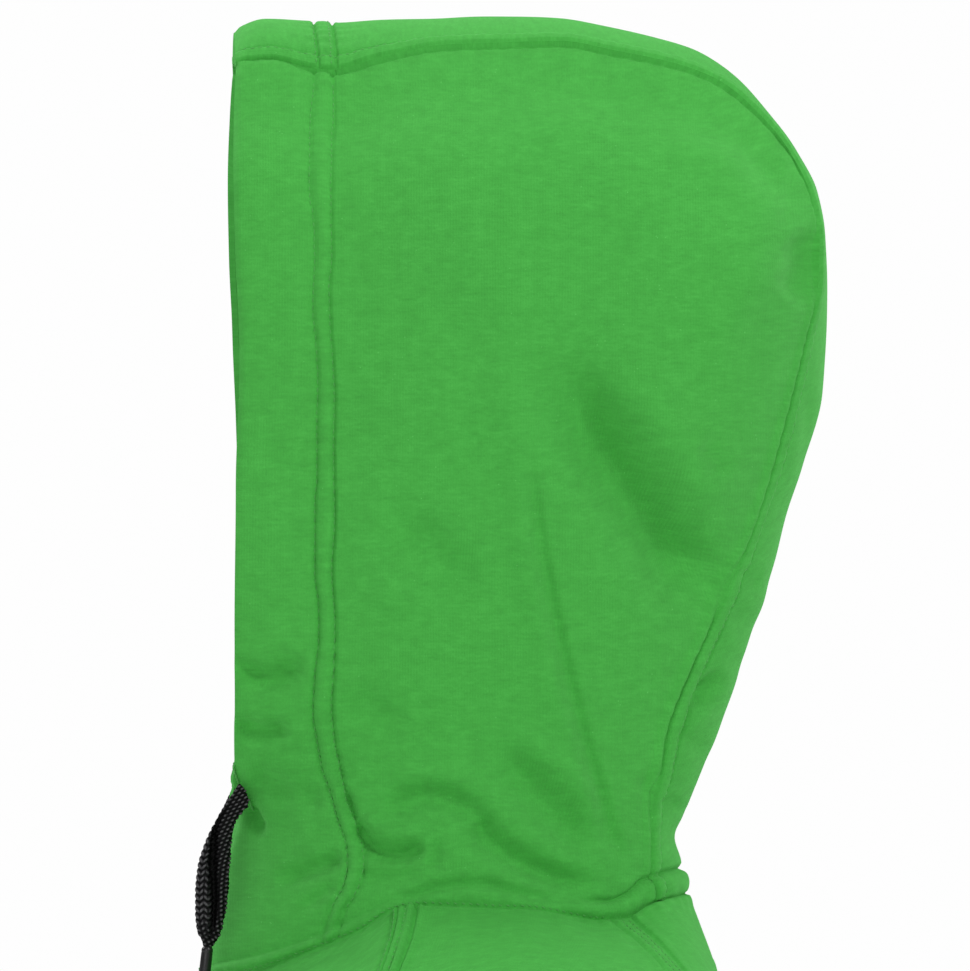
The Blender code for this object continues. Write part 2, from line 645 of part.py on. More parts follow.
def ribbon(name, xs, depth0, depth1, mat, mirror=False):
    """A flat strip down the front: xs across it, between two depths off the panels."""
    st = zip_stations()
    bm = bmesh.new()
    rings = []
    for k, fn in enumerate(st):
        ring = []
        for d, order in ((depth0, xs), (depth1, xs[::-1])):
            for x in order:
                t = at_x(fn, abs(x)) if abs(x) > 0.01 else 0.0
                p, n = fn(t), normal_at(st, k, t)
                q = p + n * d
                ring.append(Vector((x, q.y, q.z)))
        if mirror:
            ring = mirrored(ring)
        rings.append([bm.verts.new(p * MM) for p in ring])
    m = len(rings[0])
    for a, b in zip(rings, rings[1:]):
        for i in range(m):
            bm.faces.new([a[i], a[(i + 1) % m], b[(i + 1) % m], b[i]])
    bm.faces.new(rings[0][::-1])
    bm.faces.new(rings[-1])
    bmesh.ops.recalc_face_normals(bm, faces=bm.faces[:])
    bmesh.ops.triangulate(bm, faces=bm.faces[:])
    mesh = bpy.data.meshes.new(name)
    bm.to_mesh(mesh)
    bm.free()
    return finish(name, mesh, mat)


TAPE_FRONT, TAPE_BACK = -(RIB + 0.75), -(RIB + 1.55)
CHAIN_BACK, CHAIN_FRONT = TAPE_FRONT + 0.35, 0.5
ribbon("zip_tape_left", [0.6, 5.5, 10.0, 14.5], TAPE_FRONT, TAPE_BACK, tape)
ribbon("zip_tape_right", [0.6, 5.5, 10.0, 14.5], TAPE_FRONT, TAPE_BACK, tape, mirror=True)
ribbon("zip_chain", [-3.2, 0.0, 3.2], CHAIN_FRONT, CHAIN_BACK, teeth)

# The slider sits at the top of the closed zip; its own axes are x, down the zip, outwards.
SLIDER_S = 0.035
_p0, _p1 = body(SLIDER_S, "front", 0.0), body(SLIDER_S + 0.07, "front", 0.0)
DOWN = (_p1 - _p0).normalized()
OUT = Vector((0, DOWN.z, -DOWN.y))
if OUT.y > 0:
    OUT = -OUT
AT = _p0
LOCAL = Matrix((
    (1, DOWN.x, OUT.x, AT.x), (0, DOWN.y, OUT.y, AT.y), (0, DOWN.z, OUT.z, AT.z), (0, 0, 0, 1),
))


def prism(name, outline, axis, lo, hi):
    """An outline in two of the slider's axes, drawn out along the third."""
    bm = bmesh.new()
    ends = []
    for h in (lo, hi):
        ring = []
        for a, b in outline:
            c = (a, h, b) if axis == "down" else (h, a, b) if axis == "x" else (a, b, h)
            ring.append(bm.verts.new((LOCAL @ Vector(c)) * MM))
        ends.append(ring)
    n = len(outline)
    for i in range(n):
        bm.faces.new([ends[0][i], ends[0][(i + 1) % n], ends[1][(i + 1) % n], ends[1][i]])
    bm.faces.new(ends[0][::-1])
    bm.faces.new(ends[1])
    bmesh.ops.recalc_face_normals(bm, faces=bm.faces[:])
    mesh = bpy.data.meshes.new(name)
    bm.to_mesh(mesh)
    bm.free()
    return mesh


def join(base, cutter_mesh, name, operation="UNION"):
    cut = bpy.data.objects.new(name, cutter_mesh)
    bpy.context.scene.collection.objects.link(cut)
    cut.hide_render, cut.display_type = True, "WIRE"
    mod = base.modifiers.new(name, "BOOLEAN")
    mod.operation, mod.object, mod.solver = operation, cut, "EXACT"


PLATE, SKIN = 2.3, 1.0
channel = [(-4.5, PLATE), (4.5, PLATE), (4.5, -1.3), (3.6, -1.3), (3.6, SKIN), (-3.6, SKIN), (-3.6, -1.3), (-4.5, -1.3)]
slider = finish("zip_slider", prism("zip_slider", channel, "down", 0.0, 13.0), metal, 30)
arch = [(2.2, PLATE - 0.5), (2.2, 4.6), (3.0, 5.3), (10.0, 5.3), (10.8, 4.6), (10.8, PLATE - 0.5),
        (9.2, PLATE - 0.5), (9.2, 4.1), (3.8, 4.1), (3.8, PLATE - 0.5)]
join(slider, prism("slider_bridge", arch, "x", -1.1, 1.1), "slider_bridge")

# The pull: an eye whose bar runs under the bridge, and a rounded tab.
BAR_DOWN, BAR_OUT, BAR_R = 6.5, 3.2, 0.55
pull_lo, pull_hi = 2.65, 3.75
tab = [(-2.7, -0.55), (2.7, -0.55), (2.7, 6.2)]
for k in range(9):
    a = math.pi * k / 8
    tab.append((3.1 * math.cos(a), 31.0 + 3.1 * math.sin(a)))
tab += [(-2.7, 6.2)]
tab = [(x, BAR_DOWN + d) for x, d in tab]
pull = finish("zip_pull", prism("zip_pull", tab, "out", pull_lo, pull_hi), metal, 30)
eye = [(x, BAR_DOWN + d) for x, d in ((-1.5, 0.55), (1.5, 0.55), (1.5, 5.2), (-1.5, 5.2))]
join(pull, prism("pull_eye", eye, "out", pull_lo - 2, pull_hi + 2), "pull_eye", "DIFFERENCE")
hole = []
for k in range(12):
    a = 2 * math.pi * k / 12
    hole.append((1.6 * math.cos(a), BAR_DOWN + 29.8 + 1.6 * math.sin(a)))
join(pull, prism("pull_hole", hole, "out", pull_lo - 2, pull_hi + 2), "pull_hole", "DIFFERENCE")


# -------------------------------------------------------------------- cords
def smooth_route(points, n):
    """n points read from a smooth curve through the given ones."""
    out = []
    m = len(points) - 1
    for k in range(n):
        x = m * k / (n - 1)
        i = min(int(x), m - 1)
        t = x - i
        p1, p2 = Vector(points[i]), Vector(points[i + 1])
        p0 = Vector(points[i - 1]) if i else p1 * 2 - p2
        p3 = Vector(points[i + 2]) if i + 2 <= m else p2 * 2 - p1
        out.append(0.5 * (
            (2 * p1) + (p2 - p0) * t + (2 * p0 - 5 * p1 + 4 * p2 - p3) * t**2
            + (3 * p1 - p0 - 3 * p2 + p3) * t**3
        ))
    return out


for side, sign in (("left", 1), ("right", -1)):
    route = [Vector((sign * p.x, p.y, p.z)) for p in smooth_route(CORD, 10)]
    cu = bpy.data.curves.new("cord_" + side, "CURVE")
    cu.dimensions, cu.bevel_depth, cu.bevel_resolution = "3D", CORD_TUBE / 2 * MM, 2
    cu.use_fill_caps = True
    sp = cu.splines.new("POLY")
    sp.points.add(len(route) - 1)
    for q, p in zip(sp.points, route):
        q.co = (*(p * MM), 1)
    ob = bpy.data.objects.new("cord_" + side, cu)
    bpy.context.scene.collection.objects.link(ob)
    cu.materials.append(braid)
    # aglet: a plain tube end in line with the cord
    d = (route[-1] - route[-2]).normalized()
    bm = bmesh.new()
    prof = [(0.35, AGLET_D / 2 - 0.3), (0.8, AGLET_D / 2), (AGLET_L - 0.5, AGLET_D / 2), (AGLET_L, AGLET_D / 2 - 0.5)]
    other = d.cross(Vector((1, 0, 0))).normalized()
    one = other.cross(d).normalized()
    rings = []
    for h, r in prof:
        rings.append([
            bm.verts.new((route[-1] + d * h + (one * math.cos(a) + other * math.sin(a)) * r) * MM)
            for a in [2 * math.pi * k / 14 for k in range(14)]
        ])
    for a, b in zip(rings, rings[1:]):
        for i in range(14):
            bm.faces.new([a[i], a[(i + 1) % 14], b[(i + 1) % 14], b[i]])
    bm.faces.new(rings[0][::-1])
    bm.faces.new(rings[-1])
    bmesh.ops.recalc_face_normals(bm, faces=bm.faces[:])
    mesh = bpy.data.meshes.new("aglet_" + side)
    bm.to_mesh(mesh)
    bm.free()
    finish("aglet_" + side, mesh, tip)
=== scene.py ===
import math

import bpy
import numpy as np
from mathutils import Matrix, Vector


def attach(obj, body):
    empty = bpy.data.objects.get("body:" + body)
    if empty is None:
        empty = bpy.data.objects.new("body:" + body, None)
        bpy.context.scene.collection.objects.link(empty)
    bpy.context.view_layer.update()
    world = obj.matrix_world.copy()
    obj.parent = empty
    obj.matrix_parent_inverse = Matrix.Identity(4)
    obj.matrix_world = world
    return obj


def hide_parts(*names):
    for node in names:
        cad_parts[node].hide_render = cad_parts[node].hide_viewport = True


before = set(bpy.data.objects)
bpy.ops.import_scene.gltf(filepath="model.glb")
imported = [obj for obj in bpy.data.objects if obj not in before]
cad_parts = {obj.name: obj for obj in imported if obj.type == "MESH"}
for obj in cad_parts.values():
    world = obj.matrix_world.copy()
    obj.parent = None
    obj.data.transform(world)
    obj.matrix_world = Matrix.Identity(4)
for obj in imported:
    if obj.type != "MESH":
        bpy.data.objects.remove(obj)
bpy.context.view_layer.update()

MM = 0.001
scene = bpy.context.scene

# --------------------------------------------------------------------- camera
AZIMUTH = math.radians(88.4)
DISTANCE = 8000.0
MIDDLE = np.array([0.0, 16.0, 171.8])
FRAME_WIDTH = 388.0
TOWARDS = np.array([math.sin(AZIMUTH), -math.cos(AZIMUTH), 0.0])
RIGHT = np.array([math.cos(AZIMUTH), math.sin(AZIMUTH), 0.0])
EYE = MIDDLE + TOWARDS * DISTANCE

cam_data = bpy.data.cameras.new("camera")
cam_data.sensor_width = 36.0
cam_data.sensor_fit = "HORIZONTAL"
cam_data.lens = 36.0 * DISTANCE / FRAME_WIDTH
cam_data.clip_start, cam_data.clip_end = 0.1, 60.0
camera = bpy.data.objects.new("camera", cam_data)
scene.collection.objects.link(camera)
camera.matrix_world = Matrix((
    (RIGHT[0], 0, TOWARDS[0], EYE[0] * MM), (RIGHT[1], 0, TOWARDS[1], EYE[1] * MM),
    (0, 1, 0, EYE[2] * MM), (0, 0, 0, 1),
))
scene.camera = camera


def seen(p):
    """Where points in mm stand in the picture's plane through the middle: (y, z)."""
    rel = p - EYE
    depth = -(rel @ TOWARDS)
    k = DISTANCE / depth
    return MIDDLE[1] + (rel @ RIGHT) * k, MIDDLE[2] + rel[..., 2] * k


# ---------------------------------------------------------------- sizes (mm)
FABRIC, HOOD_HEM, RIB = 1.8, 3.2, 2.4
ZIP_EDGE = 5.5
NECK_HALF_WIDTH = 78.0
NECK_FRONT_Y, NECK_BACK_Y = -97.0, 96.0
FRONT_RAGLAN, BACK_RAGLAN, HOOD_SEAM = -13.1, 48.7, 58.7
AGLET_D, AGLET_L = 4.2, 25.0

NECK_LINE = (  # y, z
    (-97, -24), (-84, -22.6), (-74, -19.8), (-52, -11.5), (-36, -4.6), (-22.5, 3.6), (-13, 5.4),
    (4.7, 5.0), (18.3, 4.3), (32, 3.9), (40, 2.7), (48.5, 1.0), (59.5, -0.7), (70.6, -0.2),
    (79, 4.3), (83.4, 6.2), (96, 8.6),
)
HOOD_LINE = (  # middle line y, z | side seam y, z | seam half width
    (-85.0, 354.0, -84.4, 340.3, 43.0), (-72.0, 358.2, -70.5, 341.2, 43.0),
    (-55.6, 357.2, -55.4, 338.0, 43.0), (-46.8, 356.6, -46.8, 337.2, 43.0),
    (-26.0, 358.0, -26.8, 342.2, 43.0), (-2.0, 358.8, -2.0, 347.2, 43.0),
    (22.0, 359.4, 22.0, 348.2, 43.0), (46.0, 358.4, 44.4, 348.8, 43.5),
    (72.0, 353.6, 66.4, 345.0, 44.0), (98.0, 346.8, 90.0, 340.0, 44.5),
    (115.6, 336.2, 107.4, 333.4, 45.0), (133.0, 317.0, 128.4, 315.0, 45.0),
    (141.0, 305.2, 137.0, 303.2, 45.0), (148.8, 289.2, 144.6, 287.4, 45.0),
    (152.2, 270.0, 148.0, 270.0, 45.0), (152.8, 250.0, 147.4, 252.0, 44.5),
    (152.2, 228.0, 142.4, 232.0, 44.0), (150.8, 208.0, 137.6, 212.4, 43.5),
    (143.6, 181.0, 131.2, 187.2, 43.0), (136.8, 161.0, 123.2, 160.4, 42.5),
    (129.4, 131.0, 112.6, 133.0, 42.0), (121.4, 108.0, 102.4, 112.4, 0.0),
    (113.6, 84.0, 91.2, 86.0, 0.0), (106.8, 66.0, 87.0, 73.0, 0.0),
    (101.0, 54.0, 84.6, 57.6, 0.0), (95.6, 41.0, 81.6, 45.6, 0.0),
    (91.6, 31.0, 81.0, 30.8, 0.0), (95.2, 19.0, 81.0, 19.0, 0.0), (96.0, 8.6, 82.0, 5.0, 0.0),
)
HOOD_CORNER = 12
HOOD_EDGE = (  # y, z
    (-97.0, -24.0), (-95.8, -8.0), (-93.0, 8.0), (-88.6, 32.0), (-84.4, 58.0), (-83.4, 84.0),
    (-83.6, 120.0), (-83.2, 170.0), (-83.2, 200.0), (-84.0, 236.0), (-85.2, 262.0),
    (-85.8, 296.0), (-85.2, 324.0), (-84.4, 340.3),
)
HOOD_WIDTH = (  # share of the height | half width at the opening | half width at the ears
    (0.0, 5.5, 78.0), (0.05, 10.0, 78.0), (0.12, 25.0, 80.0), (0.22, 52.0, 86.0), (0.34, 70.0, 92.0),
    (0.5, 80.0, 98.0), (0.7, 84.0, 97.5), (0.86, 84.0, 94.0), (1.0, 82.0, 90.0),
)
HOOD_ROUND = (
    (0.0, 27.0), (0.3, 29.0), (0.42, 26.0), (0.55, 24.0), (0.7, 36.0), (0.85, 46.0), (1.0, 48.0),
)
YOKE = (  # s | middle front | front raglan seam | sleeve top | back raglan seam | middle back
    (0.00, -97, -24, 76.7, -18, 0, 74.8, 27, 2, 51.5, 72, 0, 96, 8.6),
    (0.12, -107, -46, 100, -23.6, -13, 104, 24, -7, 76, 85, -12, 105, -14),
    (0.30, -121, -82, 128, -38, -42, 143, 18, -25, 112, 103, -39, 118, -49),
    (0.50, -133, -125, 149, -66, -88, 184, 11, -50, 143, 113, -86, 128, -95),
    (0.70, -140, -168, 166, -84, -138, 226, 5, -86, 164, 107, -137, 133, -145),
    (0.86, -144, -206, 181, -72, -190, 266, 0, -133, 180, 82, -190, 133, -192),
    (1.00, -146, -240, 201, -2, -245, 313, -3, -217, 201, -2, -245, 130, -240),
)
SWEEP = (  # s | directions and reaches of the rows where they cross the raglan seams
    (0.00, 1.55, 80, 1.50, 80, 46, 46, 132, 132, 1.4, 1.25, 1.0),
    (0.12, 1.50, 76, 1.40, 76, 50, 52, 136, 138, 1.6, 1.25, 1.0),
    (0.30, 1.45, 68, 1.30, 68, 66, 66, 138, 144, 1.8, 1.30, 1.1),
    (0.50, 1.45, 62, 1.35, 56, 96, 92, 146, 142, 2.2, 1.35, 1.1),
    (0.70, 1.55, 64, 1.50, 26, 150, 136, 170, 130, 2.0, 1.45, 0.9),
    (0.86, 1.75, 76, 1.75, -30, 220, 200, 220, 112, 1.9, 1.65, 0.5),
    (1.00, 1.90, 90, 1.90, -90, 304, 304, 270, 90, 1.9, 1.90, 0.0),
)
TRUNK = (  # s, z, half width, side_y, front_y, back_y
    (1.00, -243, 201, -2, -146, 130), (1.10, -274, 197, -2, -147, 127),
    (1.24, -320, 198, -3, -146, 122), (1.48, -400, 200, -4, -142, 116),
    (1.72, -480, 201, -5, -139, 114), (1.90, -560, 202, -6, -138, 116),
    (2.00, -605, 193, -6, -132, 111),
)
HEM = (  # k, z, half width, side_y, front_y, back_y
    (0, -605, 193, -6, -132, 111), (1, -612, 188, -6, -129, 108),
    (2, -640, 187, -6, -128, 107), (3, -670, 185, -6, -127, 106),
)
ARM = (  # k | middle x, y, z | half width inwards-outwards | half depth front-back
    (0, 257.0, -2.5, -231.0, 58, 76), (1, 270.5, -5.0, -285.0, 57, 72),
    (2, 284.0, -10.0, -350.0, 54, 67), (3, 297.5, -17.0, -420.0, 50, 61),
    (4, 310.0, -26.0, -490.0, 46, 55), (5, 320.0, -36.0, -550.0, 42, 49),
    (6, 325.0, -42.0, -583.0, 39, 45), (7, 328.0, -46.0, -602.0, 34, 39),
)
CUFF = (
    (0, 328.0, -46.0, -602.0, 34, 39), (1, 329.0, -47.2, -609.0, 31, 35.5),
    (2, 333.0, -51.5, -636.0, 30, 34), (3, 337.0, -56.0, -664.0, 29, 33),
)
CORD = (
    (49.4, -85.6, 50.5), (50.8, -87.7, 45.5), (51.0, -89.3, 40.0), (50.6, -90.5, 34.0),
    (50.0, -91.4, 27.5), (49.3, -92.4, 19.0), (48.6, -93.2, 9.0), (48.0, -94.0, 0.5),
    (47.6, -95.2, -8.0), (47.4, -95.65, -12.0),
)

# ------------------------------------------------- the hood's drawn features
# All in the picture's plane (y back, z up): the side is seen nearly square on.
STITCH_FRONT = (  # z, y of the front line of the hem's twin stitching
    (-5.6, -48.8), (3.6, -45.3), (12.8, -40.6), (21.6, -39.2), (29.2, -40), (38, -43.2),
    (48.6, -46), (59.2, -49.6), (70, -51.4), (80.6, -53), (96, -52.2), (111.6, -50.6),
    (123.2, -50.7), (137.6, -52.2), (165.6, -52.2), (174, -51.4), (196, -51.4), (214, -51),
    (230, -51.8), (243.2, -53), (266, -52.2), (281.6, -53), (286.8, -54.2), (310.8, -54.2),
    (328, -53), (336.8, -52.2), (355.7, -51.8),
)
STITCH_BACK = (  # z, y of its back line
    (-4.4, -42.4), (0.8, -41), (8, -36.4), (20, -32.8), (28, -33.2), (35, -35.3),
    (46.4, -39.6), (59.2, -42.4), (70, -44.6), (84, -45.7), (96, -44.8), (116.4, -44.3),
    (137.6, -45.5), (157.2, -44.4), (187.6, -44.8), (208, -44.4), (222, -45.1),
    (238.4, -46.2), (251.4, -46.5), (263.6, -45.4), (281.6, -45.7), (310.8, -45.4),
    (321.6, -44.7), (336.8, -45.1), (345.6, -45.4), (355.7, -43.9),
)
BAND_TOP = (  # y, z of the upper edge of the raised band above the neck seam
    (-94.2, -20.0), (-77.6, -17.0), (-66, -13.6), (-54.6, -9.6), (-44, -5), (-30, 1), (-20, 6.5),
    (-8, 11), (0, 13), (14, 14), (28, 11), (44, 8), (58, 5.6), (66, 5.6), (73, 8), (80, 14),
    (87, 16.4), (96, 19),
)
# Creases of the left side: a soft line through three points, how far it reaches to
# its front and to its back, how deep it is (a ridge is negative), how it starts and ends.
CREASES = (
    # y0, z0, y1, z1, y2, z2, front, back, depth, start, end
    (31, 214, 44, 122, 72, 21, 5.5, 2.0, 2.1, 0.36, 0.06),         # the long fine crease
    (26, 206, 38, 120, 63, 28, 6.0, 6.0, -1.6, 0.35, 0.2),        # the light beside it
    (20, 234, 28, 198, 35, 160, 8.0, 8.0, -1.9, 0.4, 0.4),
    (40, 235, 68.5, 181, 114, 119, 14.2, 12.0, 12.8, 0.4, 0.24),     # the broad trough
    (66, 228, 90, 196, 118, 158, 10.0, 12.0, -2.4, 0.4, 0.3),     # its upper shoulder
    (-30, 165, -8, 147, 16, 121, 10.0, 10.0, 3.8, 0.35, 0.35),
    (-40, 92, -29, 80, -13, 71, 8.5, 8.5, 2.4, 0.4, 0.4),
    (-34, 132, -20, 128, -8, 116, 8.0, 8.0, -1.6, 0.4, 0.4),
    (19, 71, 39, 46, 64, 23, 8.4, 7.0, 4.5, 0.35, 0.25),
    (30, 78, 48, 56, 66, 36, 5.0, 6.0, -1.6, 0.35, 0.35),
    (-27, 37, -4, 47.2, 19, 33, 4.8, 5.4, 3.2, 0.25, 0.1),        # the arch above the neck
    (-22, 50, -3, 56, 20, 44, 5.5, 6.0, -1.8, 0.35, 0.35),
    (11, 38, 31, 21, 64, 10, 5.6, 5.8, 5.0, 0.14, 0.28),
    (-40.5, 50, -38.6, 43, -36, 36, 1.6, 1.8, 1.9, 0.3, 0.3),     # short and deep, off the stitching
    (-37, 38, -26, 24.6, -7, 27.2, 2.6, 3.4, 3.8, 0.14, 0.16),
    (-33, 42, -22, 33, -4, 34, 3.2, 3.6, -1.5, 0.2, 0.35),
    (-5.4, 31, -3.4, 24, -8, 17, 2.8, 2.6, 1.5, 0.3, 0.3),
    (-38, 15, -24, 14, -8, 17, 4.0, 4.0, 1.5, 0.3, 0.3),
    (-83, 106.5, -71, 95, -54.5, 104, 4.2, 5.0, 4.1, 0.36, 0.35),    # across the hem
    (-83, 80.5, -73, 73.5, -61, 77, 3.6, 4.4, 3.7, 0.38, 0.3),
    (-79, 57, -62, 50, -48, 41, 6.0, 5.0, 2.2, 0.2, 0.25),
    (-68, 13, -54, 18, -40, 24, 3.2, 3.4, 3.0, 0.3, 0.2),
    (-60, 2, -51, 7, -43, 14, 2.2, 2.2, 1.2, 0.3, 0.3),
    (-79.2, 45.2, -75.8, 38.2, -71.4, 30.8, 2.3, 2.7, 3.1, 0.3, 0.4),  # the pocket under the cord's hole
    (-64, 66, -58, 44, -52, 24, 4.0, 5.0, -1.0, 0.4, 0.4),
    (141, 276, 145.5, 261, 138, 243, 8.0, 6.0, 3.6, 0.3, 0.3),    # beside the back seam
    (134, 270, 118, 246, 102, 221, 9.0, 9.0, -2.0, 0.35, 0.4),
    (101, 191, 107, 183, 112, 175, 5.0, 5.0, 1.8, 0.35, 0.35),
    (-12, 330, 6, 318, 40, 322, 12.0, 10.0, 1.0, 0.4, 0.4),
    (70, 300, 96, 296, 122, 272, 14.0, 10.0, 1.2, 0.45, 0.4),
    (0, 262, 12, 226, 30, 204, 14.0, 12.0, 1.2, 0.5, 0.5),
    (80, 60, 84, 44, 86, 30, 4.0, 3.5, 1.6, 0.3, 0.3),
)
CENTRE_CREASES = (  # on the centre strip, the left half as seen
    (97.5, 80.5, 104, 89.5, 111.5, 98.5, 4.0, 3.0, 5.6, 0.45, 0.4),
    (94, 72, 100, 78, 108, 84, 4.0, 4.0, -1.8, 0.3, 0.3),
    (118, 140, 122, 134, 128, 132, 5.0, 5.0, 1.3, 0.3, 0.3),
    (86, 48, 90, 44, 95, 46, 3.4, 3.4, 1.6, 0.3, 0.3),
)
LIP = (  # the edge of the cord's buttonhole, on the left
    (-84.8, 60, -82.4, 52.6, -77.0, 42.6, 1.1, 1.1, -2.1, 0.12, 0.12),
    (-87.4, 58, -84.6, 50.0, -79.4, 41.6, 1.6, 1.6, 1.6, 0.2, 0.2),
)
CREASES_FAR = (  # the hidden right side: of the same kind, its own lines
    (30, 186, 40, 116, 70, 28, 5.0, 2.5, 1.2, 0.25, 0.2),
    (26, 176, 32, 112, 60, 34, 6.0, 5.0, -0.9, 0.3, 0.3),
    (40, 226, 64, 180, 104, 146, 12.0, 9.0, 4.0, 0.35, 0.2),
    (58, 226, 86, 196, 112, 172, 9.0, 11.0, -2.0, 0.4, 0.3),
    (4, 150, 12, 92, 34, 50, 8.0, 8.0, 1.8, 0.4, 0.35),
    (-24, 190, -28, 140, -20, 104, 9.0, 9.0, 1.0, 0.45, 0.45),
    (-34, 42, -16, 30, 6, 34, 3.4, 4.0, 1.9, 0.08, 0.5),
    (-12, 56, 22, 54, 60, 22, 6.0, 5.0, 1.8, 0.3, 0.3),
    (-83, 128, -70, 120, -57, 104, 6.0, 4.0, 1.2, 0.2, 0.3),
    (-83, 92, -72, 84, -57, 74, 6.0, 4.0, 1.2, 0.2, 0.3),
    (-80, 58, -66, 50, -47, 38, 6.5, 4.0, 1.8, 0.15, 0.25),
    (130, 290, 132, 256, 124, 230, 10.0, 8.0, 1.8, 0.35, 0.35),
    (60, 306, 92, 300, 118, 282, 14.0, 10.0, 1.1, 0.45, 0.4),
)


# --------------------------------------------------------------------- helpers
def soft(t):
    t = np.clip(t, 0.0, 1.0)
    return t * t * (3 - 2 * t)


def bell(d, w):
    return np.exp(-((d / w) ** 2))


def read(rows, x, col):
    """A smooth value of one column of a table whose first column rises."""
    a = np.asarray(rows, float)
    xs, ys = a[:, 0], a[:, col]
    x = np.asarray(x, float)
    i = np.clip(np.searchsorted(xs[1:], x, side="left"), 0, len(xs) - 2)
    d = np.diff(ys) / np.diff(xs)
    m = np.empty(len(xs))
    m[0], m[-1] = d[0], d[-1]
    p, q = d[:-1], d[1:]
    ok = p * q > 0
    m[1:-1] = np.where(ok, 2 * p * q / np.where(ok, p + q, 1.0), 0.0)
    h = xs[i + 1] - xs[i]
    t = np.clip((x - xs[i]) / h, 0.0, 1.0)
    return ((2 * t**3 - 3 * t**2 + 1) * ys[i] + (t**3 - 2 * t**2 + t) * h * m[i]
            + (3 * t**2 - 2 * t**3) * ys[i + 1] + (t**3 - t**2) * h * m[i + 1])


def xyz(*c):
    return np.stack(np.broadcast_arrays(*c), axis=-1).astype(float)


def hermite(p0, t0, p1, t1, t):
    t = np.asarray(t)[..., None]
    return ((2 * t**3 - 3 * t**2 + 1) * p0 + (t**3 - 2 * t**2 + t) * t0
            + (3 * t**2 - 2 * t**3) * p1 + (t**3 - t**2) * t1)


def by_length(points):
    a = np.asarray(points, float)
    run = np.concatenate([[0], np.cumsum(np.hypot(*np.diff(a[:, :2], axis=0).T))])
    return np.column_stack([run / run[-1], a])


rng_state = 7


def hashed(n, seed):
    """n even numbers from 0 to 1, the same each run."""
    k = np.arange(n, dtype=float)
    v = np.sin(k * 12.9898 + seed * 78.233) * 43758.5453
    return v - np.floor(v)


def value_noise(x, y, seed):
    """Soft noise from -1 to 1 with one bump per unit."""
    xi, yi = np.floor(x), np.floor(y)
    fx, fy = x - xi, y - yi
    fx, fy = fx * fx * (3 - 2 * fx), fy * fy * (3 - 2 * fy)

    def at(a, b):
        v = np.sin(a * 127.1 + b * 311.7 + seed * 74.7) * 43758.5453
        return (v - np.floor(v)) * 2 - 1

    top = at(xi, yi) * (1 - fx) + at(xi + 1, yi) * fx
    low = at(xi, yi + 1) * (1 - fx) + at(xi + 1, yi + 1) * fx
    return top * (1 - fy) + low * fy


# --------------------------------------------------------------- the surface
def neck(deg):
    mid, reach = (NECK_FRONT_Y + NECK_BACK_Y) / 2, (NECK_BACK_Y - NECK_FRONT_Y) / 2
    a = np.radians(deg)
    y = mid + reach * np.sin(a)
    return xyz(NECK_HALF_WIDTH * np.cos(a), y, read(NECK_LINE, y, 1))


NECK_START = -math.degrees(math.acos(ZIP_EDGE / NECK_HALF_WIDTH))
_end = neck(HOOD_SEAM)
SEAM_ROWS = by_length([(r[2], r[3], r[0], r[1], r[4] or _end[0]) for r in HOOD_LINE])
SEAM_ROWS[-1, 1], SEAM_ROWS[-1, 2] = _end[1], _end[2]
EDGE_ROWS = by_length(HOOD_EDGE)
CORNER = SEAM_ROWS[HOOD_CORNER][0]
_q = np.linspace(0, 1, 241)
SEAM_Y, SEAM_Z = read(SEAM_ROWS, _q, 1), read(SEAM_ROWS, _q, 2)
SEAM_TURN = int(round(CORNER * 240))


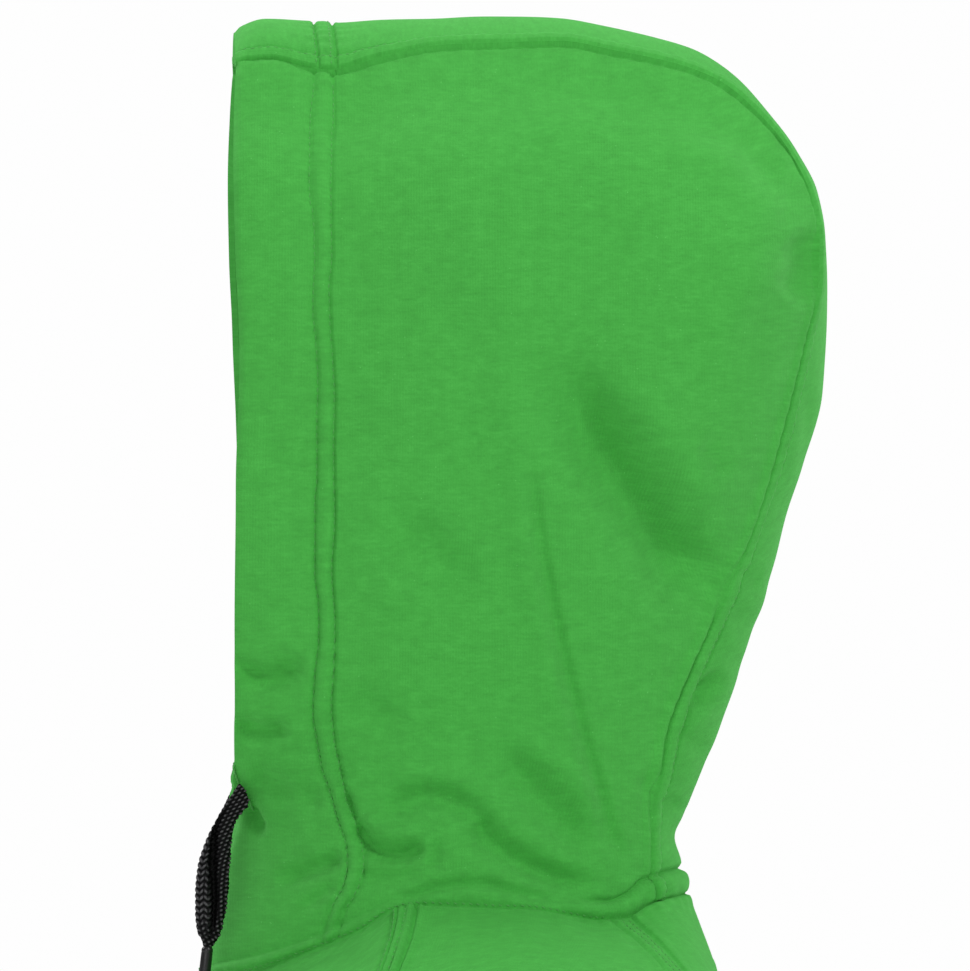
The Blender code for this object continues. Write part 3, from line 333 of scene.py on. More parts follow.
def hood_side(u, v):
    """The hood's left side: u from the opening back, v up (arrays)."""
    deg = NECK_START + (HOOD_SEAM - NECK_START) * u
    base = neck(deg)
    lo = (base[..., 1], base[..., 2])
    up = (read(SEAM_ROWS, CORNER * u, 1), read(SEAM_ROWS, CORNER * u, 2))
    fr = (read(EDGE_ROWS, v, 1), read(EDGE_ROWS, v, 2))
    qb = 1 - (1 - CORNER) * v
    bk = (read(SEAM_ROWS, qb, 1), read(SEAM_ROWS, qb, 2))
    c00, c10 = (EDGE_ROWS[0, 1], EDGE_ROWS[0, 2]), (SEAM_ROWS[-1, 1], SEAM_ROWS[-1, 2])
    c01 = (EDGE_ROWS[-1, 1], EDGE_ROWS[-1, 2])
    c11 = (float(read(SEAM_ROWS, CORNER, 1)), float(read(SEAM_ROWS, CORNER, 2)))
    y, z = [
        (1 - v) * lo[i] + v * up[i] + (1 - u) * fr[i] + u * bk[i]
        - (1 - u) * (1 - v) * c00[i] - u * (1 - v) * c10[i] - (1 - u) * v * c01[i] - u * v * c11[i]
        for i in (0, 1)
    ]
    near = []
    for lo_k, hi_k in ((0, SEAM_TURN + 1), (SEAM_TURN, 241)):    # along the top, down the back
        sy, sz = SEAM_Y[lo_k:hi_k], SEAM_Z[lo_k:hi_k]
        q, d = np.empty(y.shape), np.empty(y.shape)
        last = len(sy) - 1
        for r in range(len(y)):        # nearest place along the seam, a row at a time
            gap = np.hypot(y[r][:, None] - sy, z[r][:, None] - sz)
            k = gap.argmin(1)
            a, b = np.maximum(k - 1, 0), np.minimum(k + 1, last)
            n = np.arange(len(k))
            ga, g0, gb = gap[n, a] ** 2, gap[n, k] ** 2, gap[n, b] ** 2
            den = ga - 2 * g0 + gb
            inside = (k > 0) & (k < last) & (den > 1e-9)
            off = np.where(inside, 0.5 * (ga - gb) / np.where(inside, den, 1), 0.0)
            off = np.clip(off, -0.5, 0.5)
            q[r] = (lo_k + k + off) / 240
            d[r] = np.sqrt(np.maximum(0, g0 - np.where(inside, 0.25 * (ga - gb) * off, 0)))
        near.append((q, d))
    (qt, dt), (qd, dd) = near
    # the two parts of the seam share a point in a soft way, so no line shows between them
    reach = np.clip(1.1 * np.minimum(dt, dd), 0.01, 70.0)
    mix = np.clip(0.5 + 0.5 * (dd - dt) / reach, 0.0, 1.0)
    mix = mix * mix * (3 - 2 * mix)
    edge_u, edge_v = u > 0.9999, v > 0.9999
    wide = read(HOOD_WIDTH, v, 1) + (read(HOOD_WIDTH, v, 2) - read(HOOD_WIDTH, v, 1)) * soft(u / 0.5)

    def rounded(q, d):
        return wide - (wide - read(SEAM_ROWS, q, 5)) * np.exp(-d / read(HOOD_ROUND, q, 1))

    x = rounded(qt, dt) * mix + rounded(qd, dd) * (1 - mix)
    x = np.where(edge_u, read(SEAM_ROWS, qb, 5), np.where(edge_v, read(SEAM_ROWS, CORNER * u, 5), x))
    k = soft(v / 0.3)
    return xyz((1 - k) * base[..., 0] + k * x, y, z)


def hood_middle(q, j):
    sy, sz, my, mz, w = [read(SEAM_ROWS, q, c) for c in (1, 2, 3, 4, 5)]
    deep = np.maximum(1.0, np.hypot(my - sy, mz - sz))
    half = 2 * np.arctan(deep / w)
    drop = (1 - np.cos(half * j)) / (1 - np.cos(half))
    return xyz(w * np.sin(half * j) / np.sin(half), my + (sy - my) * drop, mz + (sz - mz) * drop)


def section(row, part, t):
    z, wide, side, front, back = row
    o = np.zeros_like(z * t)
    side_p = xyz(wide + o, side + o, z - 2.0 + o)
    if part == "front":
        deep = side - front
        return hermite(xyz(o, front + o, z + 3.0 + o), xyz(1.9 * wide + o, o, o), side_p,
                       xyz(o, 1.9 * deep + o, o - 6.0), t + o)
    deep = back - side
    return hermite(side_p, xyz(o, 1.9 * deep + o, o + 4.0), xyz(o, back + o, z + 2.0 + o),
                   xyz(-1.9 * wide + o, o, o), t + o)


def trunk_row(s):
    return [read(TRUNK, s, c) for c in (1, 2, 3, 4, 5)]


def yoke_raw(s, part, t):
    s, t = np.broadcast_arrays(np.asarray(s, float), np.asarray(t, float))
    names = "s cf_y cf_z fs_x fs_y fs_z sh_x sh_y sh_z bs_x bs_y bs_z cb_y cb_z".split()
    k = {n: read(YOKE, s, i) for i, n in enumerate(names) if i}
    names = "s cf f_dir f sf_dir s_reach top sb_dir b_dir b cb lift".split()
    w = {n: read(SWEEP, s, i) for i, n in enumerate(names) if i}
    fs, bs = xyz(k["fs_x"], k["fs_y"], k["fs_z"]), xyz(k["bs_x"], k["bs_y"], k["bs_z"])
    sh = xyz(k["sh_x"], k["sh_y"], k["sh_z"])
    o = np.zeros_like(s)

    def way(deg, reach, rise):
        a = np.radians(deg)
        return xyz(reach * np.cos(a), reach * np.sin(a), rise + o)

    if part == "front":
        return hermite(xyz(o, k["cf_y"], k["cf_z"]), xyz(w["cf"] * k["fs_x"], o, o), fs,
                       way(w["f_dir"], w["f"] * (k["fs_y"] - k["cf_y"]), 1.3 * (k["fs_z"] - k["cf_z"])), t)
    if part == "back":
        reach = w["b"] * np.maximum(np.abs(k["cb_y"] - k["bs_y"]), 14.0)
        return hermite(bs, way(w["b_dir"], reach, 1.2 * w["lift"] * (k["cb_z"] - k["bs_z"])),
                       xyz(o, k["cb_y"], k["cb_z"]), xyz(-w["cb"] * k["bs_x"], o, o), t)
    top = xyz(o, w["top"], o)
    fore = hermite(fs, way(w["sf_dir"], w["s_reach"], 1.3 * w["lift"] * (k["sh_z"] - k["fs_z"])), sh, top, 2 * t)
    aft = hermite(sh, top, bs, way(w["sb_dir"], w["s_reach"], 1.3 * w["lift"] * (k["bs_z"] - k["sh_z"])), 2 * t - 1)
    return np.where((t <= 0.5)[..., None], fore, aft)


NECK_SPAN = {
    "front": (-90.0, FRONT_RAGLAN), "sleeve": (FRONT_RAGLAN, BACK_RAGLAN), "back": (BACK_RAGLAN, 90.0),
}


def body(s, part, t):
    """The garment below the neck seam, left half: s down, t round (arrays)."""
    s, t = np.broadcast_arrays(np.asarray(s, float), np.asarray(t, float))
    lo, hi = NECK_SPAN[part]
    sy = np.minimum(s, 1.0)
    p = yoke_raw(sy, part, t)
    near = (np.maximum(0, 1 - sy / 0.6) ** 3)[..., None]
    p = p + (neck(lo + (hi - lo) * t) - yoke_raw(0.0 * s, part, t)) * near
    late = soft((sy - 0.7) / 0.3)[..., None]
    row1 = trunk_row(np.ones_like(s))
    if part != "sleeve":
        p = p + (section(row1, part, t) - yoke_raw(1.0 + 0 * s, part, t)) * late
        low = section(trunk_row(np.maximum(s, 1.0)), part, t)
        p = np.where((s > 1.0)[..., None], low, p)
    else:
        side = section(row1, "front", np.ones_like(t))
        far = yoke_raw(1.0 + 0 * s, "front", 1.0 + 0 * t)
        p = p + (side - far) * late * (np.cos(np.pi * t) ** 4)[..., None]
    return p


def ring(rows, k, t):
    """A ring round the arm at k: t runs 0 to 1 from the underarm round the front."""
    k, t = np.broadcast_arrays(np.asarray(k, float), np.asarray(t, float))
    c = xyz(*[read(rows, k, i) for i in (1, 2, 3)])
    a, b = read(rows, k, 4), read(rows, k, 5)
    top = len(rows) - 1
    up, dn = np.clip(k - 0.5, 0, top), np.clip(k + 0.5, 0, top)
    axis = xyz(*[read(rows, dn, i) - read(rows, up, i) for i in (1, 2, 3)])
    axis /= np.linalg.norm(axis, axis=-1, keepdims=True)
    out = xyz(1.0 - axis[..., 0] ** 2, -axis[..., 0] * axis[..., 1], -axis[..., 0] * axis[..., 2])
    out /= np.linalg.norm(out, axis=-1, keepdims=True)
    back = np.cross(axis, out)
    back *= np.sign(back[..., 1:2])
    ang = 2 * np.pi * t
    return c - out * (a * np.cos(ang))[..., None] - back * (b * np.sin(ang))[..., None]


# ------------------------------------------------------------- cloth builders
def normals(p, wrap=False, flip=False):
    """Unit directions out of a grid of points: rows down the first axis."""
    dr = np.gradient(p, axis=0)
    if wrap:
        dc = (np.roll(p, -1, axis=1) - np.roll(p, 1, axis=1)) / 2
    else:
        dc = np.gradient(p, axis=1)
    n = np.cross(dc, dr)
    ln = np.linalg.norm(n, axis=-1, keepdims=True)
    n = n / np.where(ln < 1e-9, 1, ln)
    return -n if flip else n


def run_along(p, axis, back=False):
    """How far along the cloth each point is from one edge."""
    step = np.linalg.norm(np.diff(p, axis=axis), axis=-1)
    pad = [(0, 0), (0, 0)]
    if back:
        pad[axis] = (0, 1)
        return np.flip(np.cumsum(np.flip(np.pad(step, pad), axis=axis), axis=axis), axis=axis)
    pad[axis] = (1, 0)
    return np.cumsum(np.pad(step, pad), axis=axis)


def line_field(points, path, taper=None):
    """For each point (n, k) the distance to a line, the share of the line's length
    where it is nearest, and the side (first two columns: + is to its right)."""
    a, b = path[:-1], path[1:]
    best = np.full(len(points), 1e18)
    share = np.zeros(len(points))
    side = np.zeros(len(points))
    seg = np.linalg.norm(b - a, axis=1)
    run = np.concatenate([[0], np.cumsum(seg)])
    for i in range(len(a)):
        e = b[i] - a[i]
        rel = points - a[i]
        k = np.clip((rel @ e) / max(1e-12, e @ e), 0, 1)
        d = ((rel - k[:, None] * e) ** 2).sum(1)
        hit = d < best
        best = np.where(hit, d, best)
        share = np.where(hit, (run[i] + k * seg[i]) / run[-1], share)
        if points.shape[1] == 2:
            side = np.where(hit, np.sign(e[0] * rel[:, 1] - e[1] * rel[:, 0]), side)
    return np.sqrt(best), share, side


def curve3(a, b, c, n=14):
    """Points along a soft line that starts at a, passes b and ends at c."""
    a, b, c = (np.asarray(v, float) for v in (a, b, c))
    m = 2 * b - (a + c) / 2
    t = np.linspace(0, 1, n)[:, None]
    return (1 - t) ** 2 * a + 2 * t * (1 - t) * m + t**2 * c


def drawn_creases(y, z, table):
    """The height that the drawn creases add at picture points y, z."""
    pts = np.column_stack([y.ravel(), z.ravel()])
    h = np.zeros(len(pts))
    for y0, z0, y1, z1, y2, z2, front, back, depth, start, end in table:
        path = curve3((y0, z0), (y1, z1), (y2, z2))
        lo, hi = path.min(0) - 3.2 * max(front, back), path.max(0) + 3.2 * max(front, back)
        near = np.where(((pts > lo) & (pts < hi)).all(1))[0]
        if not len(near):
            continue
        d, share, side = line_field(pts[near], path)
        w = np.where(side > 0, back, front)
        fade = soft(share / start) * soft((1 - share) / end)
        # past its ends the line fades on its own width
        h[near] -= depth * fade * np.exp(-((d / w) ** 2))
    return h.reshape(y.shape)


def surface_folds(p, table, place, size=1.0):
    """Folds on a panel: each row is three places (a, b) along the panel, width, depth
    and the shares over which it starts and ends. place(a, b) gives points in mm."""
    pts = p.reshape(-1, 3)
    h = np.zeros(len(pts))
    for a0, b0, a1, b1, a2, b2, width, depth, start, end in table:
        ab = curve3((a0, b0), (a1, b1), (a2, b2), 18)
        path = place(ab[:, 0], ab[:, 1])
        lo, hi = path.min(0) - 6 * width, path.max(0) + 6 * width
        near = np.where(((pts > lo) & (pts < hi)).all(1))[0]
        if not len(near):
            continue
        d, share, _ = line_field(pts[near], path)
        fade = soft(share / start) * soft((1 - share) / end)
        w = width * (0.75 + 0.5 * np.sin(np.pi * share) ** 2)
        h[near] -= size * depth * fade * (bell(d, w) - 0.32 * bell(d - 2.1 * w, 1.1 * w))
    return h.reshape(p.shape[:2])


def smooth_inner(g, wrap):
    """One pass of smoothing over a grid, its edge rows kept."""
    out = g.copy()
    if wrap:
        mid = (np.roll(g, 1, 1) + np.roll(g, -1, 1)) / 4 + g / 2
        out[1:-1] = (mid[:-2] + mid[2:]) / 4 + mid[1:-1] / 2
        return out
    a = g[1:-1, 1:-1]
    out[1:-1, 1:-1] = a / 2 + (g[:-2, 1:-1] + g[2:, 1:-1] + g[1:-1, :-2] + g[1:-1, 2:]) / 8
    return out


PIECES = {}


def add_mesh(name, verts, quads, tris, mat, uv=None, body_name="garment", replace=(), smooth=True):
    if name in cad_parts:
        name += "_sewn"
    mesh = bpy.data.meshes.new(name)
    verts = np.asarray(verts, float) * MM
    quads = np.asarray(quads, np.int64).reshape(-1, 4)
    tris = np.asarray(tris, np.int64).reshape(-1, 3)
    mesh.vertices.add(len(verts))
    mesh.vertices.foreach_set("co", verts.ravel())
    loops = np.concatenate([quads.ravel(), tris.ravel()])
    mesh.loops.add(len(loops))
    mesh.loops.foreach_set("vertex_index", loops.astype(np.int32))
    starts = np.concatenate([np.arange(len(quads)) * 4, len(quads) * 4 + np.arange(len(tris)) * 3])
    totals = np.concatenate([np.full(len(quads), 4), np.full(len(tris), 3)])
    mesh.polygons.add(len(starts))
    mesh.polygons.foreach_set("loop_start", starts.astype(np.int32))
    mesh.polygons.foreach_set("loop_total", totals.astype(np.int32))
    mesh.polygons.foreach_set("use_smooth", np.full(len(starts), bool(smooth)))
    if uv is not None:
        layer = mesh.uv_layers.new(name="UVMap")
        layer.data.foreach_set("uv", (np.asarray(uv, float)[loops] * MM).ravel())
    mesh.update(calc_edges=True)
    mesh.validate()
    mesh.materials.append(mat)
    ob = bpy.data.objects.new(name, mesh)
    scene.collection.objects.link(ob)
    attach(ob, body_name)
    if replace:
        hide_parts(*replace)
    PIECES[name] = ob
    return ob


def grid_faces(nr, nc, wrap, flip, base=0):
    r = np.arange(nr - 1)[:, None]
    c = np.arange(nc if wrap else nc - 1)[None, :]
    c1 = (c + 1) % nc
    a, b, d, e = r * nc + c, r * nc + c1, (r + 1) * nc + c1, (r + 1) * nc + c
    q = np.stack([a + 0 * b, b + 0 * a, d, e], -1).reshape(-1, 4) + base
    return q[:, ::-1] if flip else q


def cloth(name, p, flip, thick, mat, uv=None, wrap=False, replace=(), stride=2):
    """A closed wall of cloth: p is its outer face, the inner face is coarser."""
    nr, nc = p.shape[:2]
    n = normals(p, wrap, flip)
    ri = np.arange(0, nr, stride)
    ci = np.arange(0, nc, stride)
    if ri[-1] != nr - 1 or (not wrap and ci[-1] != nc - 1) or (wrap and nc % stride):
        raise ValueError(f"{name}: grid {nr} by {nc} doesn't fit stride {stride}")
    coarse = p[np.ix_(ri, ci)]
    cn = n[np.ix_(ri, ci)]
    for _ in range(2):
        cn = smooth_inner(cn, wrap)
    cn /= np.linalg.norm(cn, axis=-1, keepdims=True)
    th = thick if np.isscalar(thick) else thick[np.ix_(ri, ci)][..., None]
    inner = smooth_inner(coarse, wrap) - cn * th
    mr, mc = inner.shape[:2]
    base = nr * nc
    verts = np.concatenate([p.reshape(-1, 3), inner.reshape(-1, 3)])
    quads = [grid_faces(nr, nc, wrap, flip), grid_faces(mr, mc, wrap, not flip, base)]
    tris = []

    def rim(fine, rough, turn):
        """Faces between a fine line of points and the coarse one below it."""
        m = len(rough) - 1
        for k in range(m):
            f = fine[k * stride:(k + 1) * stride + 1]
            half = stride // 2
            out = []
            for i in range(stride):
                apex = rough[k] if i < half else rough[k + 1]
                out.append((f[i], f[i + 1], apex))
            out.append((f[half], rough[k + 1], rough[k]))
            tris.extend([t if turn else t[::-1] for t in out])

    idx = np.arange(nr * nc).reshape(nr, nc)
    jdx = (np.arange(mr * mc) + base).reshape(mr, mc)
    if wrap:
        rim(list(idx[0]) + [idx[0, 0]], list(jdx[0]) + [jdx[0, 0]], flip)
        rim(list(idx[-1]) + [idx[-1, 0]], list(jdx[-1]) + [jdx[-1, 0]], not flip)
    else:
        rim(list(idx[0]), list(jdx[0]), flip)
        rim(list(idx[-1]), list(jdx[-1]), not flip)
        rim(list(idx[:, 0]), list(jdx[:, 0]), not flip)
        rim(list(idx[:, -1]), list(jdx[:, -1]), flip)
    if uv is not None:
        uv = np.concatenate([uv.reshape(-1, 2), uv[np.ix_(ri, ci)].reshape(-1, 2)])
    ob = add_mesh(name, verts, np.concatenate(quads), np.array(tris), mat, uv, replace=replace)
    # the cut edges are crisp, so that shading doesn't roll over them
    mesh = ob.data
    ends = np.empty(2 * len(mesh.edges), np.int32)
    mesh.edges.foreach_get("vertices", ends)
    ends = ends.reshape(-1, 2)
    crisp = np.zeros(len(ends), bool)
    for grid in (idx, jdx):
        groups = (grid[0], grid[-1]) if wrap else (np.concatenate([grid[0], grid[-1], grid[:, 0], grid[:, -1]]),)
        for g in groups:
            on = np.zeros(len(verts), bool)
            on[g] = True
            crisp |= on[ends[:, 0]] & on[ends[:, 1]]
    mesh.edges.foreach_set("use_edge_sharp", crisp)
    return ob


def spread(n, *dense):
    """n places from 0 to 1, closer together near the given (place, reach, times)."""
    x = np.linspace(0, 1, 2001)
    w = np.ones_like(x)
    for at, reach, times in dense:
        w += (times - 1) * np.exp(-((x - at) / reach) ** 2)
    run = np.concatenate([[0], np.cumsum((w[1:] + w[:-1]) / 2)])
    return np.interp(np.linspace(0, 1, n), run / run[-1], x)


def inset_line(p, side, dist):
    """The line on a grid that runs beside one of its edges, dist in from it.
    side: 'c0', 'c1' (first, last column) or 'r0', 'r1' (first, last row)."""
    q = p if side[0] == "c" else np.swapaxes(p, 0, 1)
    if side[1] == "1":
        q = q[:, ::-1]
    run = run_along(q, 1)
    out = []
    for row, r in zip(q, run):
        out.append([np.interp(dist, r, row[:, i]) for i in range(3)])
    return np.array(out)


def inset(p, side, dist, keep=slice(None), flip=False, true=False):
    """That line, its directions out of the cloth, cut to some of its rows. true: dist is
    measured square to the edge, not along the grid's rows."""
    n = normals(p, flip=flip)
    q, m = (p, n) if side[0] == "c" else (np.swapaxes(p, 0, 1), np.swapaxes(n, 0, 1))
    if side[1] == "1":
        q, m = q[:, ::-1], m[:, ::-1]
    run = run_along(q, 1)
    if true:
        part = q[:, :40]
        run = np.maximum.accumulate(line_field(part.reshape(-1, 3), q[::2, 0])[0].reshape(part.shape[:2]), axis=1)
        q, m = part, m[:, :40]
    line = np.array([[np.interp(dist, r, row[:, i]) for i in range(3)] for row, r in zip(q, run)])
    out = np.array([[np.interp(dist, r, row[:, i]) for i in range(3)] for row, r in zip(m, run)])
    return line[keep], out[keep]


def nearest_on(p, n, y, z):
    """Points and directions on a grid where it is seen at picture places y, z."""
    py, pz = seen(p.reshape(-1, 3))
    flat, dirs = p.reshape(-1, 3), n.reshape(-1, 3)
    pts, out = [], []
    for a, b in zip(np.atleast_1d(y), np.atleast_1d(z)):
        d = (py - a) ** 2 + (pz - b) ** 2
        k = np.argpartition(d, 6)[:6]
        w = 1 / (d[k] + 0.02)
        w /= w.sum()
        pts.append((flat[k] * w[:, None]).sum(0))
        out.append((dirs[k] * w[:, None]).sum(0))
    out = np.array(out)
    return np.array(pts), out / np.linalg.norm(out, axis=1, keepdims=True)


def resample(path, step, others=()):
    run = np.concatenate([[0], np.cumsum(np.linalg.norm(np.diff(path, axis=0), axis=1))])
    s = np.arange(0, run[-1], step)
    return [np.column_stack([np.interp(s, run, q[:, i]) for i in range(q.shape[1])]) for q in (path, *others)]


class Threads:
    """Stitches gathered into one mesh: short lengths of thread laid into the cloth."""

    def __init__(self):
        self.verts, self.quads, self.tris, self.n = [], [], [], 0

    def row(self, path, normal, pitch=3.0, length=2.3, dia=0.5, lift=0.12, slant=0.0, seed=1):
        fine, nf = resample(path, 0.25, (normal,))
        if len(fine) < 4:
            return
        nf /= np.linalg.norm(nf, axis=1, keepdims=True)
        total = (len(fine) - 1) * 0.25
        count = int(total / pitch)
        jit = hashed(count, seed) - 0.5
        ang = np.arange(5) * np.pi * 0.4
        for k in range(count):
            mid = (k + 0.5) * pitch + jit[k] * 0.25
            pos = mid + length * np.array([-0.5, -0.22, 0.22, 0.5])
            c = np.column_stack([np.interp(pos / 0.25, np.arange(len(fine)), fine[:, i]) for i in range(3)])
            d = np.column_stack([np.interp(pos / 0.25, np.arange(len(fine)), nf[:, i]) for i in range(3)])
            w = np.array([0.5, 1.0, 1.0, 0.5])
            up = np.array([-0.35, 1.0, 1.0, -0.35]) * lift - np.array([0.25, 0, 0, 0.25])
            tan = c[-1] - c[0]
            tan /= np.linalg.norm(tan) + 1e-9
            side = np.cross(tan, d[2])
            side /= np.linalg.norm(side) + 1e-9
            c = c + d * up[:, None] + side * (np.linspace(-0.5, 0.5, 4) * slant)[:, None]
            rings = (c[:, None] + (side[None, None] * np.cos(ang)[None, :, None]
                     + d[:, None] * np.sin(ang)[None, :, None]) * (w * dia / 2)[:, None, None])
            b = self.n
            self.verts.append(rings.reshape(-1, 3))
            i = np.arange(3)[:, None] * 5
            j = np.arange(5)[None]
            j1 = (j + 1) % 5
            self.quads.append(np.stack([i + j, i + j1, i + 5 + j1, i + 5 + j], -1).reshape(-1, 4) + b)
            for cap in ((4, 3, 2, 1, 0), (15, 16, 17, 18, 19)):
                self.tris += [(b + cap[0], b + cap[m], b + cap[m + 1]) for m in range(1, 4)]
            self.n += 20

    def mirrored(self):
        self.verts = [reversed_x(v) for v in self.verts]
        self.quads = [f[:, ::-1] for f in self.quads]
        self.tris = [f[::-1] for f in self.tris]
        return self

    def make(self, name, mat, slot_name="knit"):
        quads = np.concatenate(self.quads)[:, ::-1]
        tris = np.array(self.tris)[:, ::-1]
        return add_mesh(name, np.concatenate(self.verts), quads, tris, mat)


def reversed_x(p):
    return p * np.array([-1.0, 1.0, 1.0])


# ------------------------------------------------------------------ materials
def srgb(r, g, b):
    return tuple(((c / 255 + 0.055) / 1.055) ** 2.4 if c > 10.31 else c / 255 / 12.92 for c in (r, g, b))


def nodes_of(name):
    m = bpy.data.materials.new(name)
    m.use_nodes = True
    t = m.node_tree
    return m, t, t.nodes["Principled BSDF"]


class Net:
    def __init__(self, tree):
        self.t = tree

    def node(self, kind, **kw):
        n = self.t.nodes.new(kind)
        for k, v in kw.items():
            if k in n.inputs:
                n.inputs[k].default_value = v
            else:
                setattr(n, k, v)
        return n

    def math(self, op, a, b=None, c=None, clamp=False):
        n = self.t.nodes.new("ShaderNodeMath")
        n.operation, n.use_clamp = op, clamp
        for i, v in enumerate((a, b, c)):
            if v is None:
                continue
            if isinstance(v, (int, float)):
                n.inputs[i].default_value = v
            else:
                self.t.links.new(v, n.inputs[i])
        return n.outputs[0]

    def link(self, a, b):
        self.t.links.new(a, b)

    def ramp(self, fac, stops):
        n = self.t.nodes.new("ShaderNodeValToRGB")
        e = n.color_ramp.elements
        while len(e) < len(stops):
            e.new(0.5)
        for k, (pos, col) in enumerate(stops):
            e[k].position, e[k].color = pos, (*col, 1)
        self.link(fac, n.inputs["Fac"])
        return n.outputs["Color"]


def noise(net, vec, scale, detail=2.0, rough=0.5):
    n = net.node("ShaderNodeTexNoise", Scale=scale, Detail=detail, Roughness=rough)
    net.link(vec, n.inputs["Vector"])
    return n.outputs["Fac"]


def stretched(net, vec, sx, sy, sz=1.0):
    n = net.node("ShaderNodeMapping")
    n.inputs["Scale"].default_value = (sx, sy, sz)
    net.link(vec, n.inputs["Vector"])
    return n.outputs["Vector"]


def knit_material(name, colour, wale=1.12, course=0.85, fuzz=0.35, bump=0.35, melange=0.10):
    """Brushed knit: fine wales, courses, horizontal flecks and a few pale specks."""
    m, tree, b = nodes_of(name)
    net = Net(tree)
    uvn = net.node("ShaderNodeUVMap")
    uvn.uv_map = "UVMap"
    uv = uvn.outputs["UV"]
    sep = net.node("ShaderNodeSeparateXYZ")
    # a little wander so that the wales aren't ruled lines
    wander = noise(net, stretched(net, uv, 1.0, 0.35), 90.0, 2.0)
    net.link(uv, sep.inputs[0])
    u = net.math("ADD", sep.outputs[0], net.math("MULTIPLY", net.math("SUBTRACT", wander, 0.5), 0.0011))
    wales = net.math("SINE", net.math("MULTIPLY", u, 2 * math.pi / (wale * MM)))
    rows = net.math("SINE", net.math("ADD", net.math("MULTIPLY", sep.outputs[1], 2 * math.pi / (course * MM)),
                                     net.math("MULTIPLY", wales, 0.9)))
    fibre = noise(net, stretched(net, uv, 1.0, 0.45), 2100.0, 3.0, 0.7)
    pill = noise(net, uv, 520.0, 3.0, 0.65)
    fleck = noise(net, stretched(net, uv, 0.22, 1.0), 900.0, 3.0, 0.6)
    slub = noise(net, stretched(net, uv, 1.0, 0.16), 420.0, 2.0, 0.5)
    cloud = noise(net, uv, 22.0, 3.0, 0.5)
    mottle = noise(net, stretched(net, uv, 0.5, 1.0), 230.0, 4.0, 0.75)
    height = net.math("ADD", net.math("MULTIPLY", wales, 0.13), net.math("MULTIPLY", rows, 0.04))
    height = net.math("ADD", height, net.math("MULTIPLY", fibre, 0.9))
    height = net.math("ADD", height, net.math("MULTIPLY", pill, 0.55))
    bm = net.node("ShaderNodeBump", Strength=bump, Distance=0.0005)
    net.link(height, bm.inputs["Height"])
    net.link(bm.outputs["Normal"], b.inputs["Normal"])
    tone = net.math("ADD", net.math("MULTIPLY", net.math("SUBTRACT", fleck, 0.5), 1.2),
                    net.math("MULTIPLY", net.math("SUBTRACT", slub, 0.5), 0.45))
    tone = net.math("ADD", tone, net.math("MULTIPLY", net.math("SUBTRACT", fibre, 0.5), 1.4))
    tone = net.math("ADD", tone, net.math("MULTIPLY", net.math("SUBTRACT", cloud, 0.5), 0.5))
    tone = net.math("ADD", tone, net.math("MULTIPLY", wales, 0.04))
    tone = net.math("ADD", tone, net.math("MULTIPLY", net.math("SUBTRACT", mottle, 0.5), 2.2))
    tone = net.math("MULTIPLY_ADD", tone, 0.42, 0.5, clamp=True)
    lo = tuple(c * (1 - 2.6 * melange) for c in colour)
    hi = tuple(c * (1 + 2.6 * melange) + 0.010 * melange * 10 for c in colour)
    base = net.ramp(tone, [(0.0, lo), (0.5, colour), (1.0, hi)])
    # pale specks of lint
    vor = net.node("ShaderNodeTexVoronoi", Scale=330.0)
    net.link(uv, vor.inputs["Vector"])
    speck = net.math("LESS_THAN", vor.outputs["Distance"], 0.085)
    pick = net.math("GREATER_THAN", noise(net, uv, 160.0, 1.0), 0.60)
    speck = net.math("MULTIPLY", speck, pick)
    mix = net.node("ShaderNodeMixRGB")
    mix.inputs[2].default_value = (*[min(1, c * 1.35 + 0.07) for c in colour], 1)
    net.link(net.math("MULTIPLY", speck, 0.5), mix.inputs[0])
    net.link(base, mix.inputs[1])
    net.link(mix.outputs[0], b.inputs["Base Color"])
    b.inputs["Roughness"].default_value = 0.95
    b.inputs["Specular IOR Level"].default_value = 0.15
    b.inputs["Sheen Weight"].default_value = fuzz
    b.inputs["Sheen Roughness"].default_value = 0.6
    b.inputs["Sheen Tint"].default_value = (*[min(1.0, c * 1.5 + 0.12) for c in colour], 1)
    return m


def plain_fibre(name, colour, rough=0.8, scale=1800.0, bump=0.2, spread_=0.12, sheen=0.15):
    """Thread, tape and braid: fine fibres on object coordinates."""
    m, tree, b = nodes_of(name)
    net = Net(tree)
    tc = net.node("ShaderNodeTexCoord")
    f = noise(net, tc.outputs["Object"], scale, 3.0, 0.65)
    lo = tuple(c * (1 - 2 * spread_) for c in colour)
    hi = tuple(c * (1 + 2 * spread_) for c in colour)
    net.link(net.ramp(f, [(0.3, lo), (0.7, hi)]), b.inputs["Base Color"])
    bm = net.node("ShaderNodeBump", Strength=bump, Distance=0.0002)
    net.link(f, bm.inputs["Height"])
    net.link(bm.outputs["Normal"], b.inputs["Normal"])
    b.inputs["Roughness"].default_value = rough
    b.inputs["Specular IOR Level"].default_value = 0.25
    b.inputs["Sheen Weight"].default_value = sheen
    b.inputs["Sheen Roughness"].default_value = 0.5
    return m


